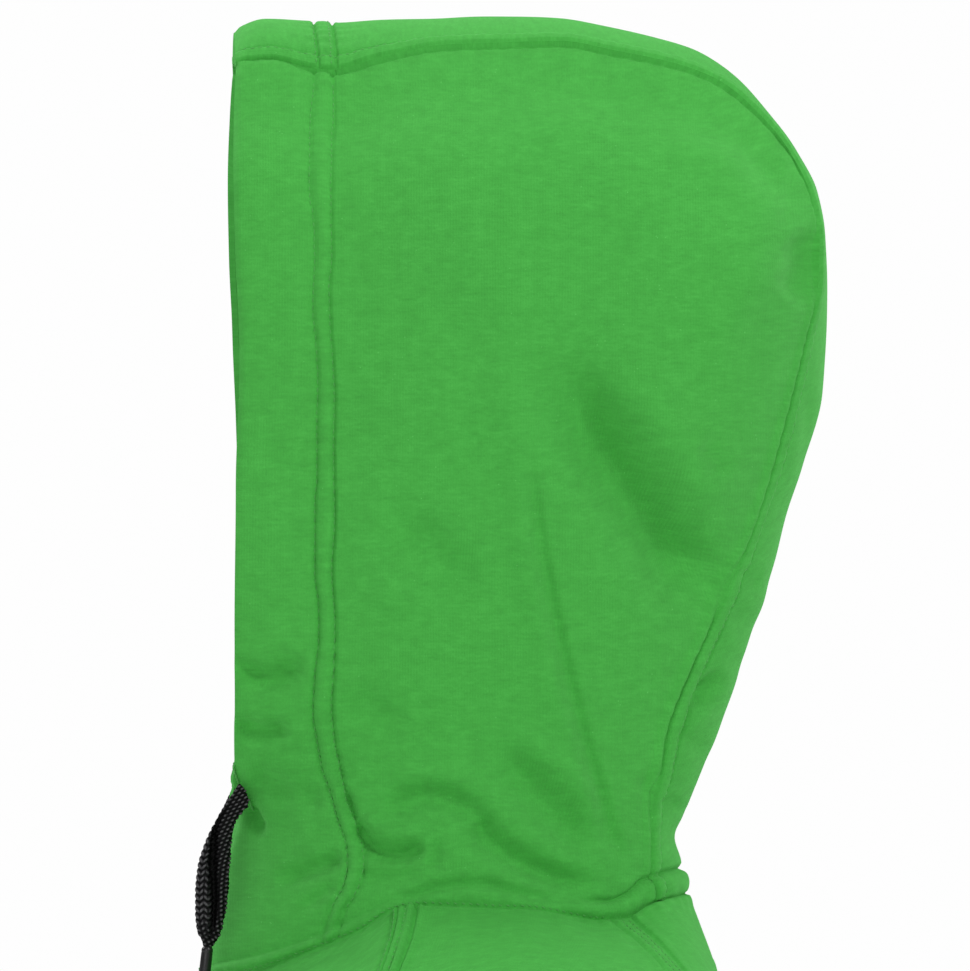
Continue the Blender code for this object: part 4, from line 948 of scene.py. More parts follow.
def hard(name, colour, rough, metallic=0.0, scale=700.0, bump=0.05):
    m, tree, b = nodes_of(name)
    net = Net(tree)
    tc = net.node("ShaderNodeTexCoord")
    f = noise(net, tc.outputs["Object"], scale, 4.0, 0.6)
    g = noise(net, tc.outputs["Object"], scale / 9, 2.0, 0.5)
    lo = tuple(c * 0.9 for c in colour)
    hi = tuple(min(1, c * 1.08) for c in colour)
    net.link(net.ramp(g, [(0.35, lo), (0.65, hi)]), b.inputs["Base Color"])
    net.link(net.math("MULTIPLY_ADD", f, 0.16, rough - 0.08), b.inputs["Roughness"])
    bm = net.node("ShaderNodeBump", Strength=bump, Distance=0.0001)
    net.link(f, bm.inputs["Height"])
    net.link(bm.outputs["Normal"], b.inputs["Normal"])
    b.inputs["Metallic"].default_value = metallic
    return m


GREEN = srgb(72, 172, 70)
KNIT = knit_material("knit", GREEN)
RIBKNIT = knit_material("rib_knit", srgb(70, 166, 68), wale=0.8, course=0.7, bump=0.3)
THREAD = plain_fibre("thread_green", srgb(84, 172, 82), 0.7, 2600.0, 0.15, 0.08, 0.1)
TAPE = plain_fibre("zip_tape", srgb(66, 148, 66), 0.85, 1500.0, 0.3, 0.10, 0.2)
TEETH = hard("zip_teeth", srgb(70, 158, 70), 0.35)
METAL = hard("zip_metal", (0.40, 0.40, 0.395), 0.36, 1.0)
BRAID = plain_fibre("cord_braid", srgb(17, 17, 18), 0.6, 1600.0, 0.35, 0.25, 0.03)
# the braid's colour is multiplied by its painted light: plait tops painted up to 17 times paler as painted highlights,
# the hollow between the lobes darker as painted shade
_net = Net(BRAID.node_tree)
_at = _net.node("ShaderNodeAttribute", attribute_name="painted_braid_light")
_b = BRAID.node_tree.nodes["Principled BSDF"]
_mix = _net.node("ShaderNodeMixRGB", blend_type="MULTIPLY")
_mix.inputs[0].default_value = 1.0
_net.link(_b.inputs["Base Color"].links[0].from_socket, _mix.inputs[1])
_net.link(_net.ramp(_at.outputs["Fac"], [(0.34, (0.12, 0.12, 0.12)), (0.7, (2.0, 2.0, 2.0)), (0.93, (17.0, 16.4, 16.2))]),
          _mix.inputs[2])
_net.link(_mix.outputs[0], _b.inputs["Base Color"])
_b.inputs["Roughness"].default_value = 0.5
_b.inputs["Specular IOR Level"].default_value = 0.08
_b.inputs["Sheen Weight"].default_value = 0.0
TIP = hard("cord_tip", srgb(20, 20, 21), 0.34)


# ------------------------------------------------------------------- the hood
def hood_grid(nu, nv):
    u = spread(nu, (0.0, 0.03, 2.2), (0.2, 0.05, 1.9), (1.0, 0.03, 2.6))
    v = spread(nv, (0.0, 0.05, 1.8), (1.0, 0.02, 2.2))
    uu, vv = np.meshgrid(u, v)
    p = hood_side(uu, vv)
    # at its top back corner the seam runs on straight: even out the grid there
    m = max(8, nu // 10)
    block = p[-m:, -m:]
    for _ in range(160):
        block[1:-1, 1:-1] = (block[:-2, 1:-1] + block[2:, 1:-1] + block[1:-1, :-2] + block[1:-1, 2:]) / 4
    return p, uu, vv


def neck_band(y, up, wide):
    """The raised band above the neck seam: flat in the middle, rounder at its ends.
    up is how far a place is above the seam, wide how far the band's upper edge is."""
    wide = np.maximum(4.0, wide)
    ends = 1 - soft((y + 46) / 26) * (1 - soft((y - 40) / 18))
    h = (0.35 + 1.4 * ends) * np.sin(np.pi * np.clip(up / wide, 0, 1)) ** (0.6 + 0.3 * ends)
    sharp = 0.1 + 2.0 * soft((y - 50) / 16) + 0.35 * (1 - soft((y + 46) / 20))
    middle = soft((y + 26) / 14) * (1 - soft((y - 40) / 16))
    h -= (sharp + 0.4 * middle) * bell(up - wide + 2.6 * middle, 1.2) + (0.4 + 1.9 * middle) * bell(up - wide - 1.0 + 2.6 * middle, 3.0 - 0.4 * middle)
    h += 0.3 * np.exp(-np.abs(up / wide - 0.2) * 3.0) * np.sin(
        2 * np.pi * (y / 5.3 + value_noise(y / 15, 0 * y, 9)))
    return h


def hood_height(p, uu, vv, table, seed):
    """How far the cloth stands off the plain form, and the picture places used."""
    y, z = seen(p if seed == 1 else p)
    h = np.zeros(y.shape)
    front, back = read(STITCH_FRONT, z, 1), read(STITCH_BACK, z, 1)
    slope = np.gradient(read(STITCH_BACK, np.linspace(-10, 360, 371), 1))
    lean = np.interp(z, np.linspace(-10, 360, 371), 1 / np.sqrt(1 + slope**2))
    df, db = (y - front) * lean, (y - back) * lean
    edge_run = run_along(p, 1)
    # the folded hem: two layers forward of the back line, and stitched ditches
    h += 0.55 * (1 - soft((db + 1.6) / 2.2))
    high = soft((z - 130) / 90)
    h -= (1.5 - 0.35 * high) * bell(df, 0.8) + (1.9 - 0.5 * high) * bell(db, 0.8)
    h += 0.75 * bell(df - (front - back) * -0.5, 2.3)
    width = np.maximum(8.0, edge_run - df)
    belly = np.clip(edge_run / width, 0, 1)
    full = soft((z - 40) / 40)
    h += (1.1 * (1 - full) * np.sin(np.pi * belly) ** 0.8 + 2.1 * full * np.sin(np.pi * belly ** 0.64) ** 0.9) * (df < 0)
    h -= (0.1 + 0.8 * soft((z - 150) / 60)) * bell(edge_run, 1.4)
    # puckers along the stitching: short ripples across it, fading away
    ph = z / 5.9 + 0.8 * value_noise(z / 11.0, y * 0, seed + 3)
    rip = np.sin(2 * np.pi * ph) * (0.55 + 0.45 * value_noise(z / 17.0, y / 9.0, seed + 5))
    h += 0.26 * rip * (np.exp(-np.abs(df) / 4.0) + np.exp(-np.abs(db) / 4.5))
    # the drawn creases
    h += 1.5 * drawn_creases(y, z, table) + drawn_creases(y, z, LIP)
    # softness of the whole
    h += 0.55 * value_noise(y / 46.0 + 3.1, z / 60.0, seed) + 0.22 * value_noise(y / 17.0, z / 24.0, seed + 1)
    # down to the ditch beside the centre panel's seam, puckered
    to_back, to_top = run_along(p, 1, back=True), run_along(p, 0, back=True)
    seam = np.minimum(to_back, to_top)
    run = np.where(to_back < to_top, z, y)
    h += 0.2 * np.exp(-seam / 5.0) * np.sin(2 * np.pi * (run / 6.7 + 0.7 * value_noise(run / 13, 0 * run, seed + 8)))
    over = soft((z - 250) / 60)
    down = soft((z - 22) / 20) * (1 - 0.25 * soft((z - 90) / 60) - 0.75 * soft((z - 190) / 70))
    h += (0.9 - 0.9 * over + 0.9 * down) * bell(seam - 2.2, 2.6) - 5.4 * over * bell(to_top - 27.0, 20.0) * soft(to_back / 40.0)
    h -= 1.2 * over * bell(seam - 1.2, 1.4) * soft((edge_run - 2) / 6)
    # the raised band above the neck seam: low and soft in the middle, rounder at the ends
    foot_y, foot_z = seen(p[0])
    low, top = np.interp(y, foot_y, foot_z), read(BAND_TOP, y, 1)
    band = neck_band(y, z - low, top - low)
    base = run_along(p, 0)
    # the opening's edge rolls forward beside the cord
    beside = (1 - soft((z - 34) / 14)) * soft((z + 18) / 10)
    h -= 7.0 * beside * np.clip(1 - edge_run / 15.0, 0, 1) ** 1.9
    # every edge lies in its seam
    calm = soft((y + 22) / 8) * (1 - soft((y - 50) / 14))
    h = h * soft(seam / 1.1) * soft(base / (1.5 + 1.6 * calm)) + band * (0.72 + 0.28 * soft(seam / 0.45)) * soft(base / (1.5 + 1.2 * calm))
    return h, y, z


def build_hood(side, nu, nv, table, seed):
    p, uu, vv = hood_grid(nu, nv)
    h, y, z = hood_height(p, uu, vv, table, seed)
    n = normals(p)
    out = p + n * h[..., None]
    # the far rim hides behind the near one low down
    run = run_along(p, 1)
    out[..., 1] += (-1.9 if side == "left" else 1.3) * bell(run, 13.0) * soft((z - 46) / 30) * (1 - soft((z - 170) / 60))
    thick = FABRIC + (HOOD_HEM - FABRIC) * (1 - soft((y - read(STITCH_BACK, z, 1)) / 3))
    uv = np.stack([y, z], -1)
    name = "hood_" + side
    if side == "right":
        cloth(name, reversed_x(out), True, thick, KNIT, uv, replace=(name,), stride=4)
    else:
        cloth(name, out, False, thick, KNIT, uv, replace=(name,), stride=4)
    return out, normals(out)


hood_left, hood_left_n = build_hood("left", 221, 321, CREASES, 1)
hood_right, hood_right_n = build_hood("right", 121, 181, CREASES_FAR, 2)


def build_centre():
    """The centre strip, over the top and down the back."""
    nq, nj = 441, 81
    q = spread(nq, (0.0, 0.01, 2.0), (0.066, 0.014, 3.4), (1.0, 0.03, 1.8))
    j = -1 + 2 * spread(nj, (0.0, 0.06, 3.2), (1.0, 0.06, 3.2))
    qq, jj = np.meshgrid(q, j, indexing="ij")
    p = hood_middle(qq, jj)
    # its end is the neck seam
    deg = 90 - (90 - HOOD_SEAM) * np.abs(jj)
    foot = neck(deg)
    foot[..., 0] *= np.sign(jj)
    end = hood_middle(np.ones_like(qq), jj)
    p = p + (foot - end) * (np.clip((qq - 0.93) / 0.07, 0, 1) ** 2)[..., None]
    n = normals(p)
    y, z = seen(p)
    along = run_along(p, 0)
    side = np.minimum(run_along(p, 1), run_along(p, 1, back=True))
    h = np.zeros(qq.shape)
    # the raised, rolled strip beside each seam, topstitched on its far side
    h += 1.5 * soft((side - 0.1) / 0.9) * (1 - soft((side - 5.7) / 1.5)) + 0.25 * bell(side - 4.2, 2.4)
    tail = soft((along / along[-1:] - 0.72) / 0.12)
    h -= (1.5 + 0.8 * tail) * bell(side - 6.6, 0.8)
    h += 0.4 * tail * bell(side - 2.4, 1.8)
    h += 0.22 * np.exp(-np.abs(side - 5.5) / 4) * np.sin(2 * np.pi * (along / 6.3 + 0.8 * value_noise(along / 15, 0 * along, 31)))
    # the hem at the opening, and its twin stitching
    h += 0.35 * (1 - soft((along - 41.0) / 2.2))
    h -= 1.5 * bell(along - 33.2, 0.8) + 1.6 * bell(along - 40.6, 0.8)
    h += 0.35 * bell(along - 36.9, 2.4)
    h += 0.3 * np.sin(np.pi * np.clip(along / 33.2, 0, 1)) ** 0.7
    h -= 1.4 * bell(along, 2.0)
    x = p[..., 0]
    h += 0.28 * np.sin(2 * np.pi * (x / 6.1 + 0.5 * value_noise(x / 13, 0 * x, 35))) * (
        np.exp(-np.abs(along - 33.2) / 4.5) + np.exp(-np.abs(along - 40.6) / 4.5))
    # softness, and the short slanting creases low on the back
    h += 0.5 * value_noise(along / 44, x / 40, 36) + 0.18 * value_noise(along / 16, x / 15, 37)
    folds = (
        # share along, place across, three times | width, depth, start, end
        (0.735, -0.9, 0.752, -0.2, 0.748, 0.5, 5.5, 1.7, 0.3, 0.4),
        (0.77, 0.95, 0.785, 0.3, 0.775, -0.4, 5.0, 1.5, 0.25, 0.4),
        (0.805, -0.8, 0.815, 0.0, 0.806, 0.8, 4.5, 1.3, 0.3, 0.3),
        (0.60, 0.9, 0.64, 0.2, 0.66, -0.5, 7.0, 1.3, 0.3, 0.5),
        (0.45, -0.8, 0.50, 0.0, 0.49, 0.6, 8.0, 1.2, 0.3, 0.5),
        (0.87, 0.9, 0.882, 0.1, 0.874, -0.7, 4.0, 1.2, 0.3, 0.3),
    )
    h += surface_folds(p, folds, lambda a, b: hood_middle(a, b)) * (0.25 + 0.6 * soft((np.abs(jj) - 0.1) / 0.45))
    # creases and the raised band as the side has them
    folded = p * 1.0
    folded[..., 0] = np.abs(folded[..., 0])
    py, pz = seen(folded)
    h += np.where(p[..., 0] > 0, 1.0, 0.6) * drawn_creases(py, pz, CENTRE_CREASES)
    low = along[-1:] - along
    band = neck_band(py[-1:] + 0 * py, low, read(BAND_TOP, py[-1:], 1) - pz[-1:] + 0 * py)
    h = (h * soft(side / 0.6) + band * (0.72 + 0.28 * soft(side / 0.35))) * soft(low / 1.3)
    out = p + n * h[..., None]
    thick = FABRIC + (HOOD_HEM - FABRIC) * (1 - soft((along - 41) / 3))
    uv = np.stack([jj * 46, along], -1)
    cloth("hood_centre", out, False, thick, KNIT, uv, replace=("hood_centre",))
    return out, normals(out)


centre, centre_n = build_centre()


# ------------------------------------------------------------------- the body
def at_x(fn, x, rows):
    """The place along each row of the front where it has reached x."""
    lo, hi = np.zeros(rows), np.full(rows, 0.5)
    for _ in range(40):
        mid = (lo + hi) / 2
        less = fn(mid)[..., 0] < x
        lo, hi = np.where(less, mid, lo), np.where(less, hi, mid)
    return (lo + hi) / 2


S_ROWS = np.concatenate([
    spread(121, (0.0, 0.10, 3.0)), 1 + np.linspace(0, 1, 91)[1:],
])
S_ROWS = S_ROWS[: len(S_ROWS) - (len(S_ROWS) + 1) % 2]


def front_base(nc=81):
    s = S_ROWS
    t0 = at_x(lambda t: body(s, "front", t), ZIP_EDGE, len(s))
    c = spread(nc, (0.0, 0.05, 2.0), (1.0, 0.06, 2.4))
    t = t0[:, None] + (1 - t0[:, None]) * c[None]
    p = body(s[:, None] + 0 * t, "front", t)
    top = neck(NECK_START + (FRONT_RAGLAN - NECK_START) * c)
    near = (np.maximum(0, 1 - s / 0.08) ** 2)[:, None, None]
    p = p + (top[None] - p[:1]) * near
    return s, c, p


def back_base(nc=131):
    s = S_ROWS
    half = spread(nc // 2 + 1, (0.0, 0.05, 2.2))
    p = body(s[:, None] + 0 * half[None], "back", half[None] + 0 * s[:, None])
    return s, half, np.concatenate([p, reversed_x(p[:, -2::-1])], axis=1)


def seam_tape(d, rise=1.0):
    """The flat strip of a cover-stitched seam, d from the seam, with its stitches' grooves."""
    strip = soft((d - 0.2) / 1.3) * (1 - soft((d - 8.0) / 1.6))
    return rise * (1.4 * strip - 0.75 * bell(d - 2.3, 0.55) - 0.7 * bell(d - 5.6, 0.55)
                   - 1.35 * bell(d - 9.2, 0.75) + 0.6 * bell(d - 11.2, 1.5))


def lie_in(d, reach=1.5):
    """0 at a seam, 1 away from it: what keeps a panel's edge in its seam."""
    return soft(d / reach)


def ripples(d, along, amp, pitch, reach, seed):
    """Puckers across a seam."""
    return amp * np.exp(-d / reach) * np.sin(
        2 * np.pi * (along / pitch + 0.8 * value_noise(along / (2.3 * pitch), 0 * along, seed)))


def gathers(d, along, amp, pitch, reach, seed):
    """Fullness taken up by a tighter band: rounded flutes that fade away from it."""
    k = along / pitch + 1.1 * value_noise(along / (2.1 * pitch), d / (3 * reach), seed)
    lift = np.abs(np.cos(np.pi * k)) ** 0.8
    size = 0.65 + 0.35 * value_noise(along / (1.7 * pitch), 0 * along, seed + 4)
    return amp * size * (lift - 0.55) * np.exp(-d / reach)


FRONT_FOLDS = (  # row, share across, three times | width, depth, start, end
    (0.80, 0.96, 0.98, 0.74, 1.16, 0.55, 15.0, 4.2, 0.15, 0.45),
    (0.92, 0.98, 1.06, 0.80, 1.28, 0.66, 12.0, 3.2, 0.12, 0.45),
    (0.66, 0.93, 0.86, 0.66, 1.00, 0.42, 17.0, 3.0, 0.25, 0.5),
    (1.02, 0.98, 1.20, 0.86, 1.42, 0.80, 11.0, 2.6, 0.15, 0.45),
    (1.30, 0.50, 1.56, 0.44, 1.82, 0.52, 18.0, 2.4, 0.4, 0.35),
    (1.44, 0.20, 1.66, 0.24, 1.90, 0.20, 13.0, 2.0, 0.4, 0.3),
    (1.40, 0.82, 1.62, 0.74, 1.88, 0.80, 14.0, 2.8, 0.4, 0.3),
    (1.66, 0.98, 1.74, 0.80, 1.76, 0.58, 12.0, 2.6, 0.2, 0.45),
    (0.20, 0.60, 0.42, 0.52, 0.62, 0.56, 16.0, 1.6, 0.4, 0.4),
    (0.06, 0.30, 0.20, 0.40, 0.40, 0.44, 12.0, 1.4, 0.35, 0.5),
    (1.84, 0.08, 1.90, 0.34, 1.88, 0.60, 9.0, 2.4, 0.25, 0.35),
    (1.86, 0.66, 1.91, 0.84, 1.89, 1.00, 8.0, 2.2, 0.25, 0.2),
)
BACK_FOLDS = (  # row, share across from the left side (0) to the right (1)
    (0.86, 0.02, 1.00, 0.13, 1.20, 0.22, 15.0, 4.0, 0.12, 0.45),
    (0.74, 0.05, 0.92, 0.20, 1.06, 0.34, 17.0, 2.8, 0.2, 0.5),
    (0.90, 0.98, 1.06, 0.86, 1.24, 0.76, 15.0, 3.8, 0.12, 0.45),
    (0.72, 0.95, 0.88, 0.80, 1.08, 0.68, 17.0, 3.0, 0.2, 0.5),
    (0.14, 0.40, 0.26, 0.50, 0.16, 0.60, 14.0, 1.8, 0.35, 0.35),
    (0.34, 0.34, 0.48, 0.50, 0.36, 0.66, 20.0, 1.8, 0.4, 0.4),
    (1.30, 0.24, 1.56, 0.30, 1.84, 0.26, 16.0, 2.6, 0.4, 0.3),
    (1.36, 0.50, 1.60, 0.46, 1.86, 0.52, 18.0, 2.4, 0.4, 0.3),
    (1.28, 0.76, 1.54, 0.70, 1.82, 0.76, 16.0, 2.6, 0.4, 0.3),
    (1.70, 0.02, 1.76, 0.16, 1.78, 0.32, 12.0, 2.6, 0.2, 0.4),
    (1.74, 0.98, 1.80, 0.84, 1.80, 0.68, 12.0, 2.4, 0.2, 0.4),
    (1.84, 0.30, 1.91, 0.44, 1.88, 0.60, 9.0, 2.4, 0.3, 0.3),
    (1.88, 0.62, 1.92, 0.76, 1.89, 0.90, 8.0, 2.0, 0.3, 0.3),
    (1.60, 0.40, 1.66, 0.50, 1.62, 0.62, 13.0, 1.8, 0.4, 0.4),
)


def gather_depth(s):
    """mm above the hem band, for rows below the underarm."""
    return read(TRUNK, s, 1) * 1.0 + 605.0


def front_surface(seed, folds):
    s, c, p = front_base()
    n = normals(p, flip=True)
    along, down = run_along(p, 1), run_along(p, 0)
    to_side = run_along(p, 1, back=True)
    h = np.zeros(p.shape[:2])

    def place(a, b):
        t0 = 0.02
        return body(a, "front", t0 + (1 - t0) * b)

    h += surface_folds(p, folds, place, 4.2)
    h += 1.3 * value_noise(along / 60 + seed, down / 75, seed) + 0.3 * value_noise(along / 22, down / 30, seed + 1)
    # zip placket: stitched down beside the teeth, lightly puckered
    h -= 1.3 * bell(along, 1.3) + 0.8 * bell(along - 6.5, 0.9)
    h += 0.7 * bell(along - 3.4, 2.2)
    wave = 0.55 + 0.45 * value_noise(down / 60, 0 * down, seed + 6)
    h += wave * ripples(np.abs(along - 5), down, 0.85, 17.0, 9.0, seed + 2)
    # raglan and side seams
    yoke = (s <= 1.0)[:, None]
    h += np.where(yoke, 0.3 * bell(to_side - 3.0, 2.0), 0.5 * bell(to_side - 3.4, 2.2))
    h += ripples(to_side, down, 0.2, 7.0, 5.0, seed + 3)
    # the neck seam: the cloth comes out from under the band, puckered
    h += 0.35 * bell(down - 3.0, 2.0)
    h += ripples(down, along, 0.3, 7.4, 6.0, seed + 4)
    # fullness above the hem band
    above = np.maximum(0.0, read(TRUNK, np.maximum(s, 1.0), 1)[:, None] + 605.0)
    low = (s > 1.3)[:, None]
    h += np.where(low, gathers(above, along, 4.2, 23.0, 34.0, seed + 5) * soft(above / 5.0), 0.0)
    h -= np.where(low, 0.45 * bell(above - 2.2, 0.9) + 0.6 * bell(above - 8.2, 0.9), 0.0)
    h *= lie_in(to_side) * lie_in(down)
    out = p + n * h[..., None]
    uv = np.stack([along, down], -1)
    return s, out, uv


def build_fronts():
    out = {}
    for side, seed in (("left", 41), ("right", 57)):
        folds = FRONT_FOLDS
        if side == "right":
            folds = tuple(
                (a0 + 0.03, b0, a1 - 0.02, b1 + 0.03, a2 + 0.05, b2 - 0.04, w * 1.08, d * 0.92, e1, e2)
                for a0, b0, a1, b1, a2, b2, w, d, e1, e2 in FRONT_FOLDS[::-1])
        s, p, uv = front_surface(seed, folds)
        name = "front_" + side
        if side == "right":
            cloth(name, reversed_x(p), False, FABRIC, KNIT, uv, replace=(name,))
        else:
            cloth(name, p, True, FABRIC, KNIT, uv, replace=(name,))
        out[side] = p
    return out


FRONTS = build_fronts()


def build_back():
    s, half, p = back_base()
    n = normals(p, flip=True)
    along, down = run_along(p, 1), run_along(p, 0)
    width = along[:, -1:]
    edge = np.minimum(along, width - along)
    h = np.zeros(p.shape[:2])

    def place(a, b):
        t = np.where(b <= 0.5, 2 * b, 2 * (1 - b))
        q = body(a, "back", t)
        q[..., 0] *= np.where(b <= 0.5, 1.0, -1.0)
        return q

    h += surface_folds(p, BACK_FOLDS, place, 4.2)
    h += 1.3 * value_noise(along / 64, down / 80, 71) + 0.3 * value_noise(along / 24, down / 30, 72)
    yoke = (s <= 1.0)[:, None]
    h += np.where(yoke, 0.3 * bell(edge - 3.0, 2.0), 0.5 * bell(edge - 3.4, 2.2))
    h += ripples(edge, down, 0.2, 7.0, 5.0, 73)
    h += 0.35 * bell(down - 3.0, 2.0) + ripples(down, along, 0.3, 7.4, 6.0, 74)
    above = np.maximum(0.0, read(TRUNK, np.maximum(s, 1.0), 1)[:, None] + 605.0)
    low = (s > 1.3)[:, None]
    h += np.where(low, gathers(above, along, 4.2, 23.0, 34.0, 75) * soft(above / 5.0), 0.0)
    h -= np.where(low, 0.45 * bell(above - 2.2, 0.9) + 0.6 * bell(above - 8.2, 0.9), 0.0)
    h *= lie_in(edge) * lie_in(down)
    out = p + n * h[..., None]
    uv = np.stack([along - width / 2, down], -1)
    cloth("back", out, True, FABRIC, KNIT, uv, replace=("back",))
    return out


BACK = build_back()

SLEEVE_FOLDS = (  # row, share round, three times: rows 0-1 are the cap, 1-2 the arm
    # pulls from the underarm
    (0.80, 0.06, 0.92, 0.16, 1.02, 0.27, 12.0, 3.6, 0.15, 0.45),
    (0.90, 0.03, 1.02, 0.13, 1.10, 0.24, 11.0, 3.4, 0.15, 0.45),
    (0.82, 0.94, 0.94, 0.84, 1.03, 0.74, 12.0, 3.4, 0.15, 0.45),
    (0.92, 0.97, 1.04, 0.86, 1.12, 0.76, 11.0, 3.0, 0.15, 0.45),
    (0.30, 0.20, 0.50, 0.26, 0.70, 0.34, 16.0, 1.6, 0.4, 0.4),
    (0.40, 0.72, 0.60, 0.66, 0.80, 0.62, 16.0, 1.6, 0.4, 0.4),
    # the elbow's bend, at the front
    (1.30, 0.06, 1.34, 0.22, 1.31, 0.38, 9.0, 3.6, 0.25, 0.35),
    (1.37, 0.10, 1.41, 0.26, 1.40, 0.44, 8.0, 4.2, 0.25, 0.35),
    (1.45, 0.04, 1.47, 0.20, 1.44, 0.36, 8.5, 3.6, 0.25, 0.35),
    (1.34, 0.92, 1.40, 0.80, 1.48, 0.70, 11.0, 2.6, 0.3, 0.4),
    (1.50, 0.60, 1.46, 0.70, 1.40, 0.80, 11.0, 2.2, 0.3, 0.4),
    (1.20, 0.30, 1.28, 0.44, 1.38, 0.54, 13.0, 2.4, 0.35, 0.45),
    # stacked above the cuff
    (1.62, 0.02, 1.655, 0.18, 1.63, 0.36, 7.5, 3.4, 0.25, 0.3),
    (1.70, 0.14, 1.735, 0.32, 1.71, 0.52, 7.0, 3.8, 0.25, 0.3),
    (1.78, 0.94, 1.80, 1.10, 1.785, 1.26, 6.5, 3.6, 0.25, 0.3),
    (1.85, 0.20, 1.875, 0.38, 1.86, 0.58, 6.0, 3.8, 0.2, 0.3),
    (1.66, 0.58, 1.70, 0.74, 1.67, 0.90, 7.5, 3.2, 0.25, 0.3),
    (1.76, 0.50, 1.79, 0.66, 1.77, 0.84, 7.0, 3.4, 0.25, 0.3),
    (1.90, 0.62, 1.92, 0.80, 1.905, 0.98, 5.5, 3.2, 0.2, 0.3),
    (1.91, 0.02, 1.93, 0.12, 1.915, 0.24, 5.0, 3.0, 0.2, 0.3),
)


def sleeve_place(a, b):
    """A point of the sleeve: a 0-1 down the cap, 1-2 down the arm, b round."""
    a, b = np.broadcast_arrays(np.asarray(a, float), np.asarray(b, float))
    t = np.mod(b, 1.0)
    cap = body(np.minimum(a, 1.0), "sleeve", t)
    k = np.clip((a - 1) * 7.0, 0, 7)
    first = body(np.ones_like(a), "sleeve", t) - ring(ARM, 0 * k, t)
    arm = ring(ARM, k, t) + first * (np.clip(1 - k, 0, 1) ** 2 * (1 + 2 * np.clip(k, 0, 1)))[..., None]
    return np.where((a > 1.0)[..., None], arm, cap)


def sleeve_surface(seed, folds):
    """Cap and arm as two grids that share their ring at the underarm."""
    nc = 120
    cap_s = spread(121, (0.0, 0.10, 3.0))
    t = spread(nc + 1, (0.0, 0.05, 2.6), (1.0, 0.05, 1.8))
    cap = body(cap_s[:, None] + 0 * t[None], "sleeve", t[None] + 0 * cap_s[:, None])
    f = body(cap_s, "front", np.ones_like(cap_s))
    b = body(cap_s, "back", np.zeros_like(cap_s))
    w0, w1 = ((1 - t) ** 8)[None, :, None], (t**8)[None, :, None]
    cap = cap + (f[:, None] - cap[:, :1]) * w0 + (b[:, None] - cap[:, -1:]) * w1
    arm_k = np.linspace(0, 7, 141)
    ta = t[:-1]
    arm = ring(ARM, arm_k[:, None] + 0 * ta[None], ta[None] + 0 * arm_k[:, None])
    join = cap[-1, :-1] - arm[0]
    kk = np.clip(arm_k, 0, 1)
    arm = arm + join[None] * ((1 - kk) ** 2 * (1 + 2 * kk))[:, None, None]
    # one height field over both
    hs = []
    for grid, rows, wrap in ((cap, cap_s, False), (arm, 1 + arm_k / 7, True)):
        n = normals(grid, wrap, True)
        closed = np.concatenate([grid, grid[:, :1]], 1) if wrap else grid
        along = run_along(closed, 1)[:, : grid.shape[1]]
        down = run_along(grid, 0)
        if wrap:
            down = down + run_along(cap, 0)[-1, :-1][None]
        tt = (ta if wrap else t)[None] + 0 * down
        h = surface_folds(grid, folds, sleeve_place, 2.6)
        cx, cy = np.cos(2 * np.pi * tt) * 1.3, np.sin(2 * np.pi * tt) * 1.3
        h += 0.9 * value_noise(cx + 5, down / 60 + cy, seed) + 0.35 * value_noise(3 * cx, down / 26 + 2 * cy, seed + 1)
        if not wrap:
            width = along[:, -1:]
            flat_pts = grid.reshape(-1, 3)
            to_f = line_field(flat_pts, grid[::2, 0])[0].reshape(along.shape)
            to_b = line_field(flat_pts, grid[::2, -1])[0].reshape(along.shape)
            under = soft((1.0 - rows) / 0.08)[:, None]
            h += seam_tape(to_f, 1.75) * under + 0.4 * seam_tape(to_b) * under
            h += ripples(np.minimum(to_f, to_b), down, 0.2, 7.0, 5.0, seed + 3)
            calm = soft((grid[..., 1] + 12) / 8) * (1 - soft((grid[..., 1] - 50) / 14))
            h += (0.35 - 0.35 * calm) * bell(down - 3.0, 2.0) + ripples(down, along, 0.3, 7.4, 6.0, seed + 4)
            h *= lie_in(to_f, 1.0) * lie_in(to_b, 1.0) * lie_in(down, 1.5 + 1.4 * calm)
        else:
            to_seam = np.minimum(along, (along[:, -1:] + along[:, 1:2]) - along)
            h += -0.9 * bell(to_seam, 1.6) * soft((arm_k / 0.4))[:, None]
            above = np.maximum(0.0, run_along(grid, 0, back=True))
            h += gathers(above, along, 3.4, 18.0, 20.0, seed + 5)
        hs.append(h)
        uvs = np.stack([along, down], -1)
        hs.append(uvs)
        hs.append(n)
    hc, uvc, n_c, ha, uva, n_a = hs
    # meet at the shared ring
    mid = (hc[-1, :-1] + ha[0]) / 2
    fade_c = soft((cap_s - 0.94) / 0.06)[:, None]
    fade_a = (1 - soft(arm_k / 0.35))[:, None]
    full = np.concatenate([mid, mid[:1]])
    hc = hc + (full[None] - hc[-1:]) * fade_c
    ha = ha + (mid[None] - ha[:1]) * fade_a
    nm = n_c[-1, :-1] + n_a[0]
    nm /= np.linalg.norm(nm, axis=-1, keepdims=True)
    nfull = np.concatenate([nm, nm[:1]])
    n_c = n_c + (nfull[None] - n_c[-1:]) * fade_c[..., None]
    n_a = n_a + (nm[None] - n_a[:1]) * fade_a[..., None]
    cap = cap + n_c * hc[..., None]
    arm = arm + n_a * ha[..., None]
    return cap, arm, uvc, uva


def stitch_grids(cap, arm):
    """Cap (open) and arm (closed) as one open grid whose last column repeats the first
    below the underarm."""
    low = np.concatenate([arm, arm[:, :1]], 1)
    return np.concatenate([cap[:-1], low], 0)


